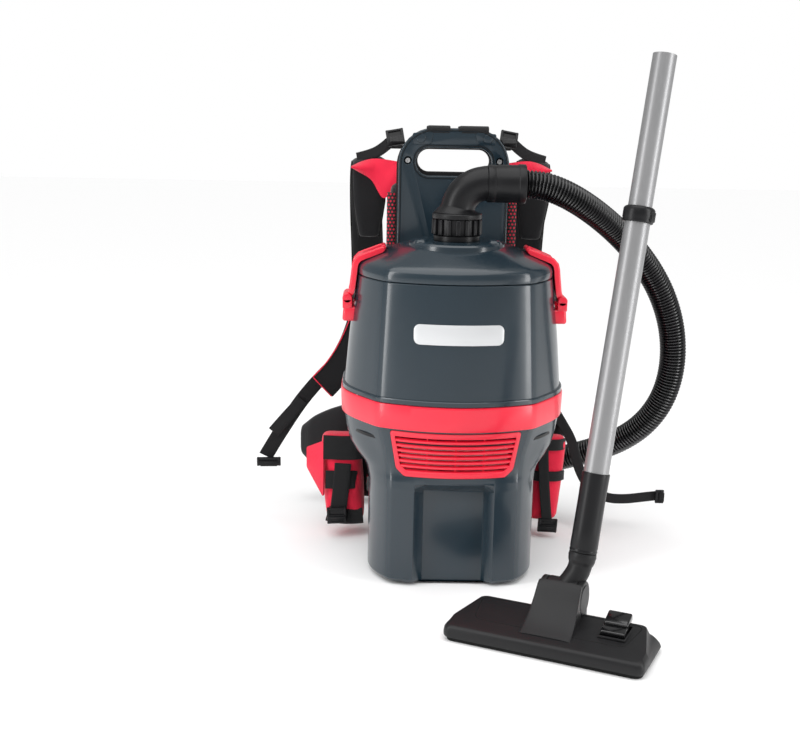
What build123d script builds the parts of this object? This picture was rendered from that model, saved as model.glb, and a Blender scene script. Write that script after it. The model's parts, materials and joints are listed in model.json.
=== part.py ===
from build123d import *
import os
from math import radians, tan

# Backpack vacuum cleaner with its harness, suction hose, wand and floor tool.
# Millimetres, +Z up. The origin is on the floor under the middle of the body,
# -Y is the pack's front, +Y the wearer's side, +X is to the right from the front.

os.makedirs("parts", exist_ok=True)

# Body: heights of the stacked mouldings, and their plan
foot = 3.0  # rubber feet
housing_top = 224.0
band_height = 35.0
canister_height = 162.0
lid_rim = 16.0  # upright edge of the lid
dome = 33.0  # rise of the dome above that edge
base_half = 117.0  # half width of the legs of the housing
band_half = 156.0  # half width at the bumper band
rim_half = 137.5  # half width at the canister's rim
base_front = -116.0
band_front = -125.0
rim_front = -115.0
back = 100.0  # flat back of the body
axis_y = -5.0  # upright axis of the motor, bag and neck
bow_y = 10.0  # where the sides are widest
corner = 42.0  # rear corner radius
wall = 3.0
gap = 0.4  # between separate mouldings
recess_half = 44.0  # space between the front legs, at its back
recess_height = 135.0
recess_y = -95.0

# Battery, sliding in from the right
battery_y = (-22.0, 58.0)
battery_z = (20.0, 80.0)
battery_length = 176.0
bay_wall = 2.5

# Motor and fan
motor_r = 50.0
mount_height = 11.0
motor_height = 56.0
fan_height = 49.0
fan_r = 68.0
impeller_r = 60.0
shaft_r = 4.0
bearing = 0.08  # radial running clearance
eye_r = 28.0  # suction eye, through the fan case and the deck

# Bag and filter
basket_r = 96.0
bag_r = 82.0

# Lid, neck, elbow and cuff
boss_r = 67.0
neck_r = 24.0
tube_wall = 3.5
nut_r = 34.5
nut_height = 31.0
flange_height = 6.6
bend_r = 40.0
cuff_r = 26.0
cuff_length = 53.0

# Latches
latch_width = 50.0
latch_thick = 8.0
latch_y = 8.0
pivot_below = 34.0  # pivot, below the canister's rim
pivot_out = 13.0  # and outside it
pin_r = 3.0
knuckle_r = 7.0

# Back frame and its handle
frame_half = 81.0
frame_top = 620.0
frame_bottom = 46.0
frame_corner = 52.0
frame_front = 104.0
frame_thick = 13.0
trim_thick = 5.0
grip_half = 54.5
grip_z = (555.0, 591.0)
screw_x, screw_z = 67.0, 573.0

# Harness
pad_half = 96.0
pad_bottom, pad_top = 66.0, 550.0
pad_thick = 25.0
strap_in, strap_width = 99.0, 49.0
strap_thick = 13.0
belt_thick = 20.0
belt_z = (45.0, 205.0)
webbing = 25.0
webbing_thick = 2.4

# Hose
hose_r = 19.5
hose_points = [
    (93, -5, 548), (115, -5, 548), (154, 4, 534), (198, 26, 508), (244, 54, 472),
    (285, 74, 429), (316, 86, 381), (335, 94, 327), (340, 101, 271), (331, 111, 219),
    (309, 127, 176), (277, 147, 144), (239, 170, 121), (196, 192, 102), (148, 220, 80),
    (100, 244, 58), (48, 262, 40), (-6, 271, 28), (-56, 271, 28),
]
handle_r = 16.0
handle_bend = 70.0

# Wand, measured along its own axis from the bottom of the tool cuff
wand_foot = Vector(155, -250, 105)
wand_head = Vector(242, -150, 718)
tool_cuff_length = 102.0
tool_cuff_r = 17.5
socket_depth = 60.0  # lower tube inside the cuff
lower_r = 16.0
upper_r = 15.0
steel = 1.2
lower_end = 428.0
upper_start = 300.0
ring_length = 20.0

# Floor tool, in its own frame: x along the mouth, y to the rear
tool_at = Vector(113, -296, 0)
tool_length = 256.0
tool_depth = 102.0
skirt_top = 24.0
sole = 4.0
tool_wall = 3.0
drum_y = 41.0
drum_r = 23.0
drum_gap = 3.0  # between the drum and the skirt
drum_half = 25.0
wheel_r = 10.0
wheel_x = 96.0
wheel_width = 10.0
brush_length = 232.0
pedal_x, pedal_y = 80.0, 15.0

# Derived places
band_top = housing_top + band_height
canister_top = band_top + canister_height
lid_edge = canister_top + lid_rim
lid_top = lid_edge + dome
bay_top = battery_z[1] + gap + bay_wall
motor_bottom = bay_top + mount_height
fan_bottom = motor_bottom + motor_height
fan_top = fan_bottom + fan_height
deck_z = fan_top + 5
flange_top = lid_top + flange_height
neck_top = flange_top + gap + nut_height + gap
elbow_z = neck_top + bend_r
trim_back = frame_front + frame_thick + trim_thick
pad_front = trim_back + gap
pad_back = pad_front + pad_thick
pivot_z = canister_top - pivot_below
pivot_x = rim_half + pivot_out

wand = Plane(origin=wand_foot, z_dir=wand_head - wand_foot)
wand_length = (wand_head - wand_foot).length
drum_z = skirt_top + drum_gap + drum_r
tool = Plane(origin=tool_at, x_dir=(0.900, -0.436, 0), z_dir=(0, 0, 1))


def save(piece, name):
    """Label a finished piece and write it to its own file."""
    piece.part.label = name
    export_step(piece.part, f"parts/{name}.step")


def outline(z, half, front, square, inset=0.0):
    """Plan section of the body: bowed front, straight sides and a flat back."""
    w, f, b = half - inset, front + inset, back - inset
    c = corner * w / half
    with BuildSketch(Plane.XY.offset(z)) as section:
        with BuildLine():
            Bezier((-w, bow_y), (-w, bow_y + square * (f - bow_y)), (-square * w, f), (0, f))
            Bezier((0, f), (square * w, f), (w, bow_y + square * (f - bow_y)), (w, bow_y))
            Line((w, bow_y), (w, b - c))
            CenterArc((w - c, b - c), c, 0, 90)
            Line((w - c, b), (c - w, b))
            CenterArc((c - w, b - c), c, 90, 90)
            Line((-w, b - c), (-w, bow_y))
        make_face()
    return section.sketch.face()


def sections(levels, inset=0.0):
    """Faces for a loft from (z, half width, front, squareness) levels."""
    return [outline(*level, inset) for level in levels]


def inside(levels, inset, bottom, top):
    """The same levels as a cavity, its two ends moved to the heights given."""
    ends = [(bottom, *levels[0][1:])], [(top, *levels[-1][1:])]
    return sections(ends[0] + levels[1:-1] + ends[1], inset)


def level_at(levels, z):
    """The body's level at any height between two of the levels."""
    for low, high in zip(levels, levels[1:]):
        if low[0] <= z <= high[0]:
            t = (z - low[0]) / (high[0] - low[0])
            return (z, *(a + t * (b - a) for a, b in zip(low[1:], high[1:])))


housing_levels = [
    (foot, base_half - 5, base_front + 5, 0.74),
    (foot + 9, base_half, base_front, 0.74),
    (housing_top - 84, base_half + 1, base_front - 1, 0.74),
    (housing_top - 68, base_half + 6, base_front - 2, 0.72),
    (housing_top - 40, band_half - 10, band_front + 4, 0.64),
    (housing_top, band_half - 2, band_front + 1, 0.57),
]
band_levels = [
    (housing_top, band_half - 1, band_front, 0.56),
    (housing_top + 4, band_half + 1, band_front - 2, 0.56),
    (band_top - 5, band_half + 2, band_front - 3, 0.56),
    (band_top, band_half + 1, band_front - 2, 0.56),
]
canister_levels = [
    (band_top, band_half - 1, band_front - 1, 0.56),
    (band_top + 76, rim_half + 8, rim_front - 5, 0.56),
    (canister_top, rim_half, rim_front, 0.56),
]
lid_levels = [
    (canister_top, 0), (canister_top + 9, 1), (lid_edge, 6), (lid_edge + 9, 24),
    (lid_edge + 19, 45), (lid_edge + 29, 64),
]


def recess(grow):
    """The space between the two front legs, open below, as a solid."""
    with BuildPart() as space:
        for y, half, top in ((-recess_y, recess_half, recess_height),
                             (150, recess_half + 20, recess_height + 22)):
            with BuildSketch(Plane.XZ.offset(y - grow)):
                with Locations((0, (top + grow) / 2 - 10)):
                    Rectangle(2 * (half + grow), top + grow + 20)
        loft()
    return space.part


def grille_window(grow):
    """The opening that the exhaust grille fills, as a prism through the front."""
    half, top, bottom = 88 + grow, housing_top - 3 + grow, housing_top - 67 - grow
    with BuildPart() as prism:
        with BuildSketch(Plane.XZ.offset(70)):
            Polygon((-half, top), (half, top), (half - 9, bottom + 7), (half - 18, bottom),
                    (18 - half, bottom), (9 - half, bottom + 7), align=None)
        extrude(amount=70)
    return prism.part


# ---------------------------------------------------------------- lower housing
with BuildPart() as housing_cavity:
    loft(inside(housing_levels, wall, foot + wall, housing_top + 1), ruled=True)
    add(recess(wall), mode=Mode.SUBTRACT)

with BuildPart() as lower_housing:
    loft(sections(housing_levels), ruled=True)
    add(recess(0), mode=Mode.SUBTRACT)
    add(housing_cavity.part, mode=Mode.SUBTRACT)
    add(grille_window(gap), mode=Mode.SUBTRACT)
    with BuildSketch(Plane.YZ.offset(base_half - 20)):  # battery door
        with Locations((sum(battery_y) / 2, sum(battery_z) / 2)):
            Rectangle(battery_y[1] - battery_y[0] + 1, battery_z[1] - battery_z[0] + 1)
        with Locations((18, bay_top + 12)):  # release button
            Rectangle(25, 13)
    extrude(amount=40, mode=Mode.SUBTRACT)
    with BuildSketch(Plane.YZ.offset(20 - base_half)):  # power switch
        with Locations((18, 110)):
            Rectangle(16.4, 24.4)
    extrude(amount=-40, mode=Mode.SUBTRACT)
save(lower_housing, "lower_housing")

with BuildPart() as exhaust_grille:
    loft(sections(housing_levels, -1.5), ruled=True)
    add(housing_cavity.part, mode=Mode.SUBTRACT)
    add(grille_window(0), mode=Mode.INTERSECT)
    with BuildSketch(Plane.XZ.offset(70)):
        with Locations((0, housing_top - 35)):
            with GridLocations(37, 7.6, 4, 7):
                Rectangle(34, 4.6)
    extrude(amount=70, mode=Mode.SUBTRACT)
save(exhaust_grille, "exhaust_grille")

with BuildPart() as exhaust_filter:
    with Locations((0, recess_y + 9, housing_top - 43)):
        Box(146, 12, 36)
save(exhaust_filter, "exhaust_filter")

with BuildPart() as base_feet:  # one rubber pad, behind the space between the legs
    with BuildSketch():
        RectangleRounded(2 * (base_half - 25), 2 * (back - 12), 24)
    extrude(amount=foot)
save(base_feet, "base_feet")

# ---------------------------------------------------------------- band and canister
with BuildPart() as bumper_band:
    loft(sections(band_levels), ruled=True)
    loft(inside(band_levels, wall + 3, housing_top - 1, band_top + 1), ruled=True, mode=Mode.SUBTRACT)
save(bumper_band, "bumper_band")

with BuildPart() as canister:
    loft(sections(canister_levels), ruled=True)
    add(outline(band_top, band_half + 0.5, band_front - 2, 0.56))
    extrude(amount=7)
    loft(inside(canister_levels, wall, band_top - 1, canister_top + 1), ruled=True, mode=Mode.SUBTRACT)
save(canister, "canister")

with BuildPart() as badge_plate:  # blank badge following the front of the canister
    loft(sections(canister_levels, -1.2), ruled=True)
    loft(sections(canister_levels), ruled=True, mode=Mode.SUBTRACT)
    with BuildSketch(Plane.XZ.offset(60)):
        with Locations((0, canister_top - 66)):
            RectangleRounded(124, 28, 8)
    extrude(amount=100, mode=Mode.INTERSECT)
save(badge_plate, "badge_plate")

# ---------------------------------------------------------------- latches and their brackets
latch_face = [  # points on the canister and lid, with the direction of the outward normal
    (rim_half + 2.2, canister_top - 24, 5), (rim_half, canister_top, 4),
    (rim_half - 1, canister_top + 9, 12), (rim_half - 6, lid_edge, 42),
    (rim_half - 24, lid_edge + 9, 64), (rim_half - 40, lid_edge + 16.6, 64),
]


def away(distance):
    """The latch face moved out along its normals."""
    return [Vector(x, z) + Vector(distance, 0).rotate(Axis.Z, turn) for x, z, turn in latch_face]


bracket_top = pivot_z - 12
bracket_bottom = bracket_top - 20
bracket_in = rim_half + 1.5
for side, name in ((-1, "latch_left"), (1, "latch_right")):
    y_plane = Plane(origin=(0, latch_y, 0), x_dir=(side, 0, 0), z_dir=(0, -side, 0))
    with BuildPart() as latch:
        with BuildSketch(y_plane):
            Polygon(*away(1.0), *reversed(away(1.0 + latch_thick)), align=None)
            with BuildLine():
                Polyline((pivot_x - knuckle_r, pivot_z), (pivot_x + knuckle_r, pivot_z),
                         (pivot_x + 2, pivot_z + 12), (pivot_x - 8, pivot_z + 12), close=True)
            make_face()
            with Locations((pivot_x, pivot_z)):
                Circle(knuckle_r)
        extrude(amount=latch_width / 2, both=True)
        for edge in (-1, 1):  # room for the bracket's ears
            with BuildSketch(Plane.XZ.offset(-latch_y - edge * (latch_width / 2 - 4.5))):
                with Locations((side * pivot_x, pivot_z)):
                    Circle(knuckle_r + 3)
            extrude(amount=5, both=True, mode=Mode.SUBTRACT)
        with BuildSketch(y_plane):
            with Locations((pivot_x, pivot_z)):
                Circle(pin_r + bearing)
        extrude(amount=latch_width, both=True, mode=Mode.SUBTRACT)
    save(latch, name)

with BuildPart() as latch_hinges:
    for side in (-1, 1):
        y_plane = Plane(origin=(0, latch_y, 0), x_dir=(side, 0, 0), z_dir=(0, -side, 0))
        with BuildSketch(y_plane):
            Polygon((bracket_in, bracket_bottom), (pivot_x + 7, bracket_bottom),
                    (pivot_x + 7, bracket_top), (bracket_in, bracket_top), align=None)
        extrude(amount=latch_width / 2, both=True)
        for edge in (-1, 1):
            with BuildSketch(Plane.XZ.offset(-latch_y - edge * (latch_width / 2 - 4))):
                with Locations((side * pivot_x, pivot_z)):
                    Circle(knuckle_r)
                with Locations((side * pivot_x, (pivot_z + bracket_top) / 2 - 1)):
                    Rectangle(2 * knuckle_r, pivot_z - bracket_top + 2)
            extrude(amount=4, both=True)
        with BuildSketch(y_plane):
            with Locations((pivot_x, pivot_z)):
                Circle(pin_r)
        extrude(amount=latch_width / 2, both=True)
    loft(sections(canister_levels), ruled=True, mode=Mode.SUBTRACT)
save(latch_hinges, "latch_hinges")

# ---------------------------------------------------------------- motor and electrics
with BuildPart() as battery_bay:
    length = battery_length - wall
    with Locations((base_half - wall - 1 - length / 2, sum(battery_y) / 2, sum(battery_z) / 2)):
        Box(length, battery_y[1] - battery_y[0] + 2 * (gap + bay_wall),
            battery_z[1] - battery_z[0] + 2 * (gap + bay_wall))
    with Locations((base_half - length / 2 + bay_wall, sum(battery_y) / 2, sum(battery_z) / 2)):
        Box(length + 2 * wall, battery_y[1] - battery_y[0] + 2 * gap,
            battery_z[1] - battery_z[0] + 2 * gap, mode=Mode.SUBTRACT)
    add(lower_housing.part, mode=Mode.SUBTRACT)
save(battery_bay, "battery_bay")

battery_end = base_half + 1
with BuildPart() as battery_pack:
    with Locations((battery_end - battery_length / 2 + 4, sum(battery_y) / 2, sum(battery_z) / 2)):
        Box(battery_length - 8, battery_y[1] - battery_y[0], battery_z[1] - battery_z[0])
    fillet(battery_pack.edges().filter_by(Axis.X), 5)
    with BuildSketch(Plane.YZ.offset(battery_end)):  # finger pull
        with Locations((sum(battery_y) / 2, sum(battery_z) / 2)):
            RectangleRounded(50, 22, 6)
    extrude(amount=-8, mode=Mode.SUBTRACT)
save(battery_pack, "battery_pack")

with BuildPart() as battery_release:
    with Locations((base_half - 2, 18, bay_top + 12)):
        Box(14, 24, 12)
    fillet(battery_release.faces().sort_by(Axis.X)[-1].edges(), 2)
save(battery_release, "battery_release")

with BuildPart() as power_switch:
    with Locations((-base_half + 2, 18, 110)):
        Box(10, 14, 22)
    fillet(power_switch.edges().filter_by(Axis.Y), 2)
    with Locations((-base_half + 2, 18, 110)):  # barrel that it rocks on
        Cylinder(5.6, 14, rotation=(90, 0, 0))
save(power_switch, "power_switch")

with BuildPart() as control_board:
    with Locations((-10, 80, 52)):
        Box(90, 1.6, 56)
    with Locations((-30, 76.7, 60)):
        Box(22, 5, 22)
    for x in (0, 20):
        with Locations((x, 74.2, 45)):
            Cylinder(6, 10, rotation=(90, 0, 0))
save(control_board, "control_board")

with BuildPart() as motor_mounts:
    with Locations((0, 0, bay_top + mount_height / 2)):
        with Locations((-30, -6), (30, -6), (-22, 27), (22, 27)):
            Cylinder(7, mount_height)
save(motor_mounts, "motor_mounts")

with BuildPart() as fan_motor:
    with Locations((0, axis_y, motor_bottom + motor_height / 2)):
        Cylinder(motor_r, motor_height)
    chamfer(fan_motor.faces().sort_by(Axis.Z)[0].edges(), 4)
    with BuildSketch(Plane.XY.offset(fan_bottom)):
        with Locations((0, axis_y)):
            Circle(shaft_r + bearing)
    extrude(amount=-36, mode=Mode.SUBTRACT)
save(fan_motor, "fan_motor")

with BuildPart() as fan_case:
    with Locations((0, axis_y, (fan_bottom + fan_top) / 2)):
        Cylinder(fan_r, fan_height)
        Cylinder(fan_r - wall, fan_height - 2 * wall, mode=Mode.SUBTRACT)
        Cylinder(shaft_r + 3, fan_height, mode=Mode.SUBTRACT)
    with BuildSketch(Plane.XY.offset(fan_top)):
        with Locations((0, axis_y)):
            Circle(eye_r)
    extrude(amount=-wall - 1, mode=Mode.SUBTRACT)
save(fan_case, "fan_case")

with BuildPart() as impeller:
    with Locations((0, axis_y, fan_bottom + 10)):
        Cylinder(impeller_r, 3)
        with Locations((0, 0, 10)):
            Cylinder(12, 17)
            with PolarLocations(34, 9):
                Box(40, 2, 17, rotation=(0, 0, 25))
        Cylinder(shaft_r, 86, align=(Align.CENTER, Align.CENTER, Align.CENTER))
    split(bisect_by=Plane.XY.offset(fan_bottom - 33), keep=Keep.TOP)
save(impeller, "impeller")

with BuildPart() as motor_gasket:
    with BuildSketch(Plane.XY.offset(fan_top)):
        with Locations((0, axis_y)):
            Circle(eye_r + 14)
            Circle(eye_r, mode=Mode.SUBTRACT)
    extrude(amount=deck_z - fan_top)
save(motor_gasket, "motor_gasket")

with BuildPart() as motor_deck:
    add(outline(*level_at(housing_levels, deck_z), wall + gap))
    extrude(amount=4)
    with BuildSketch(Plane.XY.offset(deck_z)):
        with Locations((0, axis_y)):
            Circle(eye_r)
    extrude(amount=4, mode=Mode.SUBTRACT)
save(motor_deck, "motor_deck")

# ---------------------------------------------------------------- filter and bag
with BuildPart() as filter_basket:
    with BuildSketch(Plane.XZ):
        with BuildLine():
            Polyline((0, band_top - 30), (basket_r - 8, band_top - 30), (basket_r, canister_top - 12),
                     (basket_r + 4, canister_top - 12), (basket_r + 4, canister_top - 9),
                     (basket_r - 2, canister_top - 9), (basket_r - 10, band_top - 28),
                     (0, band_top - 28), close=True)
        make_face()
    revolve(axis=Axis.Z)
filter_basket.part.position = (0, axis_y, 0)
save(filter_basket, "filter_basket")

with BuildPart() as dust_bag:
    with Locations((0, axis_y, (band_top + canister_top) / 2 - 20)):
        Cylinder(bag_r, canister_height - 12)
    fillet(dust_bag.edges(), 30)
    with Locations((0, axis_y, canister_top - 25)):
        Cylinder(neck_r + 6, 12)
save(dust_bag, "dust_bag")

# ---------------------------------------------------------------- lid, neck and elbow
with BuildPart() as lid:
    loft([outline(z, rim_half, rim_front, 0.56, inset) for z, inset in lid_levels], ruled=True)
    with BuildSketch(Plane.XY.offset(lid_top)):
        with Locations((0, axis_y)):
            Circle(boss_r)
    extrude(amount=-14)
    fillet(lid.faces().sort_by(Axis.Z)[-1].edges(), 3)
    hollow = [(canister_top - 1, wall)] + [(z - wall, inset + wall) for z, inset in lid_levels[1:]]
    loft([outline(z, rim_half, rim_front, 0.56, inset) for z, inset in hollow], ruled=True,
         mode=Mode.SUBTRACT)
    with Locations((0, axis_y, lid_top)):
        Cylinder(neck_r + gap, 60, mode=Mode.SUBTRACT)
save(lid, "lid")

with BuildPart() as lid_seal:
    add(outline(canister_top - 7, rim_half, rim_front, 0.56, wall + gap + 0.3))
    extrude(amount=10)
    add(outline(canister_top - 7, rim_half, rim_front, 0.56, wall + gap + 4))
    extrude(amount=10, mode=Mode.SUBTRACT)
save(lid_seal, "lid_seal")

with BuildPart() as inlet_neck:
    with BuildSketch(Plane.XY.offset(canister_top - 12)):
        with Locations((0, axis_y)):
            Circle(neck_r)
    extrude(amount=neck_top - canister_top + 12)
    with BuildSketch(Plane.XY.offset(lid_top)):
        with Locations((0, axis_y)):
            Circle(neck_r + 8)
    extrude(amount=flange_height)
    with BuildSketch(Plane.XY.offset(neck_top)):
        with Locations((0, axis_y)):
            Circle(neck_r - tube_wall)
    extrude(amount=-150, mode=Mode.SUBTRACT)
save(inlet_neck, "inlet_neck")

with BuildPart() as collar_nut:
    with BuildSketch(Plane.XY.offset(flange_top + gap)):
        with Locations((0, axis_y)):
            Circle(nut_r - 1.5)
            Circle(neck_r + gap, mode=Mode.SUBTRACT)
            with PolarLocations(nut_r - 2, 14):
                Circle(3.2)
    extrude(amount=nut_height)
    with BuildSketch(Plane.XY.offset(flange_top + gap + nut_height)):
        with Locations((0, axis_y)):
            Circle(nut_r)
            Circle(neck_r + gap, mode=Mode.SUBTRACT)
    extrude(amount=-8)
save(collar_nut, "collar_nut")

with BuildPart() as elbow:
    with BuildSketch(Plane.XY.offset(neck_top)):
        with Locations((0, axis_y)):
            Circle(neck_r)
            Circle(neck_r - tube_wall, mode=Mode.SUBTRACT)
    revolve(axis=Axis((bend_r, axis_y, neck_top), (0, 1, 0)), revolution_arc=90)
save(elbow, "elbow")

with BuildPart() as hose_cuff:
    with BuildSketch(Plane.YZ.offset(bend_r)):
        with Locations((axis_y, elbow_z)):
            Circle(cuff_r)
    extrude(amount=cuff_length)
    with BuildSketch(Plane.YZ.offset(bend_r + cuff_length)):
        with Locations((axis_y, elbow_z)):
            Circle(cuff_r + 1)
    extrude(amount=-10)
    with BuildSketch(Plane.YZ.offset(bend_r)):
        with Locations((axis_y, elbow_z)):
            Circle(neck_r - tube_wall)
    extrude(amount=cuff_length, mode=Mode.SUBTRACT)
save(hose_cuff, "hose_cuff")

# ---------------------------------------------------------------- back frame
frame_plane = Plane(origin=(0, frame_front, 0), x_dir=(1, 0, 0), z_dir=(0, -1, 0))


def frame_plate(plane, half, top, grip, thick):
    """A plate with a rounded top and the hand opening, from a plane towards the wearer."""
    with BuildPart() as plate:
        with BuildSketch(plane):
            with Locations((0, (frame_bottom + top) / 2)):
                Rectangle(2 * half, top - frame_bottom)
        extrude(amount=-thick)
        fillet(plate.edges().filter_by(Axis.Y).group_by(Axis.Z)[-1], frame_corner)
        with BuildSketch(plane):
            with Locations((0, sum(grip_z) / 2)):
                RectangleRounded(2 * grip, grip_z[1] - grip_z[0], 14)
        extrude(amount=-thick, mode=Mode.SUBTRACT)
        for x in (-screw_x, screw_x):
            with Locations((x, frame_front, screw_z)):
                Cylinder(2.8, 200, rotation=(90, 0, 0), mode=Mode.SUBTRACT)
    return plate.part


with BuildPart() as back_frame:
    add(frame_plate(frame_plane, frame_half, frame_top, grip_half, frame_thick))
    with BuildSketch(frame_plane):  # pads against the body
        with Locations((0, (band_top + frame_bottom) / 2 + 30)):
            Rectangle(120, 260)
    extrude(amount=frame_front - back)
    for x in (-1, 1):
        with Locations((x * screw_x, frame_front, screw_z)):
            Cylinder(5, 6, rotation=(90, 0, 0), mode=Mode.SUBTRACT)
        with Locations((x * 48.5, frame_front - 1, grip_z[1] + 10)):
            Cylinder(7, 3, rotation=(90, 0, 0))
save(back_frame, "back_frame")

with BuildPart() as rear_trim:
    trim_plane = frame_plane.offset(-frame_thick)
    add(frame_plate(trim_plane, frame_half + 2, frame_top - 3, grip_half - 2, trim_thick))
save(rear_trim, "rear_trim")

with BuildPart() as frame_screws:
    for x in (-screw_x, screw_x):
        with Locations((x, frame_front + 1.7, screw_z)):
            Cylinder(4, 2.4, rotation=(90, 0, 0))
        with Locations((x, frame_front + 10.5, screw_z)):
            Cylinder(2.5, 19, rotation=(90, 0, 0))
save(frame_screws, "frame_screws")

with BuildPart() as frame_wraps:
    for low, high in ((-40, -6), (6, 50)):
        with BuildSketch(Plane.YZ.offset(low)):
            with BuildLine():
                front, rear, top = frame_front - gap, trim_back + gap, frame_top + gap
                Polyline((front, top - 9), (front, top), (rear, top), (rear, top - 27),
                         (rear + webbing_thick, top - 27), (rear + webbing_thick, top + webbing_thick),
                         (front - webbing_thick, top + webbing_thick), (front - webbing_thick, top - 9),
                         close=True)
            make_face()
        extrude(amount=high - low)
save(frame_wraps, "frame_wraps")

# ---------------------------------------------------------------- harness
with BuildPart() as back_pad:
    with Locations((0, (pad_front + pad_back) / 2, 0)):
        with Locations((0, 0, (pad_bottom + pad_top) / 2)):
            Box(2 * pad_half, pad_thick, pad_top - pad_bottom)
        with Locations((0, 0, pad_top - 26)):  # wings that carry the shoulder straps
            Box(2 * (strap_in + strap_width), pad_thick, 44)
    fillet(back_pad.faces().sort_by(Axis.Y)[-1].edges(), 8)
    with BuildSketch(frame_plane):  # clear of the wraps
        with Locations((0, frame_top)):
            Rectangle(120, 2 * (frame_top - pad_top) + 12)
    extrude(amount=-100, mode=Mode.SUBTRACT)
save(back_pad, "back_pad")

strap_start = pad_back + gap + strap_thick / 2
for side, name in ((-1, "shoulder_strap_left"), (1, "shoulder_strap_right")):
    with BuildPart() as strap:
        with BuildSketch(Plane.YZ.offset(side * strap_in)):
            with BuildLine():
                FilletPolyline(
                    (strap_start, 452), (strap_start + 4, 562), (strap_start + 34, 571),
                    (strap_start + 62, 545), (strap_start + 73, 480), (strap_start + 72, 400),
                    (strap_start + 58, 330), (strap_start + 32, 284), radius=9)
            trace(line_width=strap_thick)
        extrude(amount=side * strap_width)
    save(strap, name)

for side, name, tip in ((-1, "waist_belt_left", (228, 190)), (1, "waist_belt_right", (190, 158))):
    with BuildPart() as belt:
        with BuildSketch(Plane.XY.offset(belt_z[0])):
            with BuildLine():
                FilletPolyline((side * (pad_half + 2 + belt_thick / 8), 143), (side * 150, 150),
                               (side * tip[0], tip[1]), radius=30)
            trace(line_width=belt_thick)
        extrude(amount=belt_z[1] - belt_z[0])
    save(belt, name)

with BuildPart() as hip_pouch_left:
    with Locations((-157, 112, 92)):
        Box(62, 44, 146)
    fillet(hip_pouch_left.edges(), 8)
save(hip_pouch_left, "hip_pouch_left")

with BuildPart() as hip_panel_right:
    with Locations((158, 117, 92)):
        Box(48, 36, 144)
    fillet(hip_panel_right.edges(), 8)
save(hip_panel_right, "hip_panel_right")

with BuildPart() as lifter_webbing:
    for side in (-1, 1):
        with BuildSketch(Plane.YZ.offset(side * 72)):
            with BuildLine():
                Polyline((trim_back + gap, 596), (trim_back + 14, 603), (186, 596), (196, 586))
            trace(line_width=webbing_thick)
        extrude(amount=side * (webbing - 3))
save(lifter_webbing, "lifter_webbing")

with BuildPart() as lifter_buckles:
    for side in (-1, 1):
        with BuildSketch(Plane.YZ.offset(side * 70)):
            with Locations((162, 606.6)):
                Rectangle(26, 8, rotation=-6)
        extrude(amount=side * 27)
save(lifter_buckles, "lifter_buckles")

for name, y, route in (
    ("strap_webbing_left", 215, [(-128, 282), (-190, 232), (-228, 190), (-290, 88)]),
    ("strap_webbing_right", 128, [(196, 150), (212, 92), (256, 52), (338, 60)]),
):
    with BuildPart() as strip:
        with BuildSketch(Plane.XZ.offset(-y)):
            with BuildLine():
                Polyline(*route)
            trace(line_width=webbing if y > 200 else 16)
        extrude(amount=webbing_thick)
    save(strip, name)

with BuildPart() as strap_buckles:
    for x, y, z, width, height in (
        (-165, 86, 28, 28, 24), (160, 95, 20, 30, 22), (-280, 210, 84, 30, 14), (338, 122, 60, 14, 22),
    ):
        with Locations((x, y, z)):
            Box(width, 5, height)
save(strap_buckles, "strap_buckles")


# ---------------------------------------------------------------- hose
def bend_radii(points):
    """Largest tangent arc at each inner point, 0.45 of the shorter run beside it."""
    path = [Vector(*point) for point in points]
    radii = []
    for a, b, c in zip(path, path[1:], path[2:]):
        turn = (b - a).get_angle(c - b)
        radii.append(0.45 * min((b - a).length, (c - b).length) / tan(radians(turn / 2)))
    return radii


hose_radii = bend_radii(hose_points)
with BuildPart() as hose:
    with BuildLine() as hose_path:
        FilletPolyline(*hose_points, radius=hose_radii)
    with BuildSketch(Plane(origin=hose_points[0], z_dir=(1, 0, 0))):
        Circle(hose_r)
    sweep()
save(hose, "hose")
hose_length = sum(edge.length for edge in hose_path.edges())
print("hose radii", [round(r) for r in hose_radii], "length", round(hose_length))
print("hose volume share", round(hose.part.volume / (3.14159265 * hose_r**2 * hose_length), 4))

hose_end = Vector(*hose_points[-1])
with BuildPart() as hose_end_cuff:
    with BuildSketch(Plane(origin=hose_end, z_dir=(-1, 0, 0))):
        Circle(hose_r + 4)
        Circle(handle_r, mode=Mode.SUBTRACT)
    extrude(amount=56)
save(hose_end_cuff, "hose_end_cuff")

handle_start = hose_end - Vector(20, 0, 0)
handle_turn = handle_start - Vector(50, 0, 0)
with BuildPart() as hose_handle:
    with BuildLine():
        FilletPolyline(handle_start, handle_turn, handle_turn + Vector(-72, 24, 56), radius=handle_bend)
    with BuildSketch(Plane(origin=handle_start, z_dir=(-1, 0, 0))):
        Circle(handle_r)
        Circle(handle_r - 2.5, mode=Mode.SUBTRACT)
    sweep()
save(hose_handle, "hose_handle")

# ---------------------------------------------------------------- wand
cuff_stop = tool_cuff_length - socket_depth
with BuildPart() as tool_cuff:
    with BuildSketch(wand):
        Circle(tool_cuff_r)
    extrude(amount=tool_cuff_length)
    with BuildSketch(wand.offset(cuff_stop)):
        Circle(lower_r)
    extrude(amount=socket_depth, mode=Mode.SUBTRACT)
    with BuildSketch(wand):
        Circle(lower_r - 3)
    extrude(amount=tool_cuff_length, mode=Mode.SUBTRACT)
save(tool_cuff, "tool_cuff")

with BuildPart() as lower_tube:
    with BuildSketch(wand.offset(cuff_stop)):
        Circle(lower_r)
        Circle(upper_r + gap, mode=Mode.SUBTRACT)
    extrude(amount=lower_end - cuff_stop)
save(lower_tube, "lower_tube")

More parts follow.
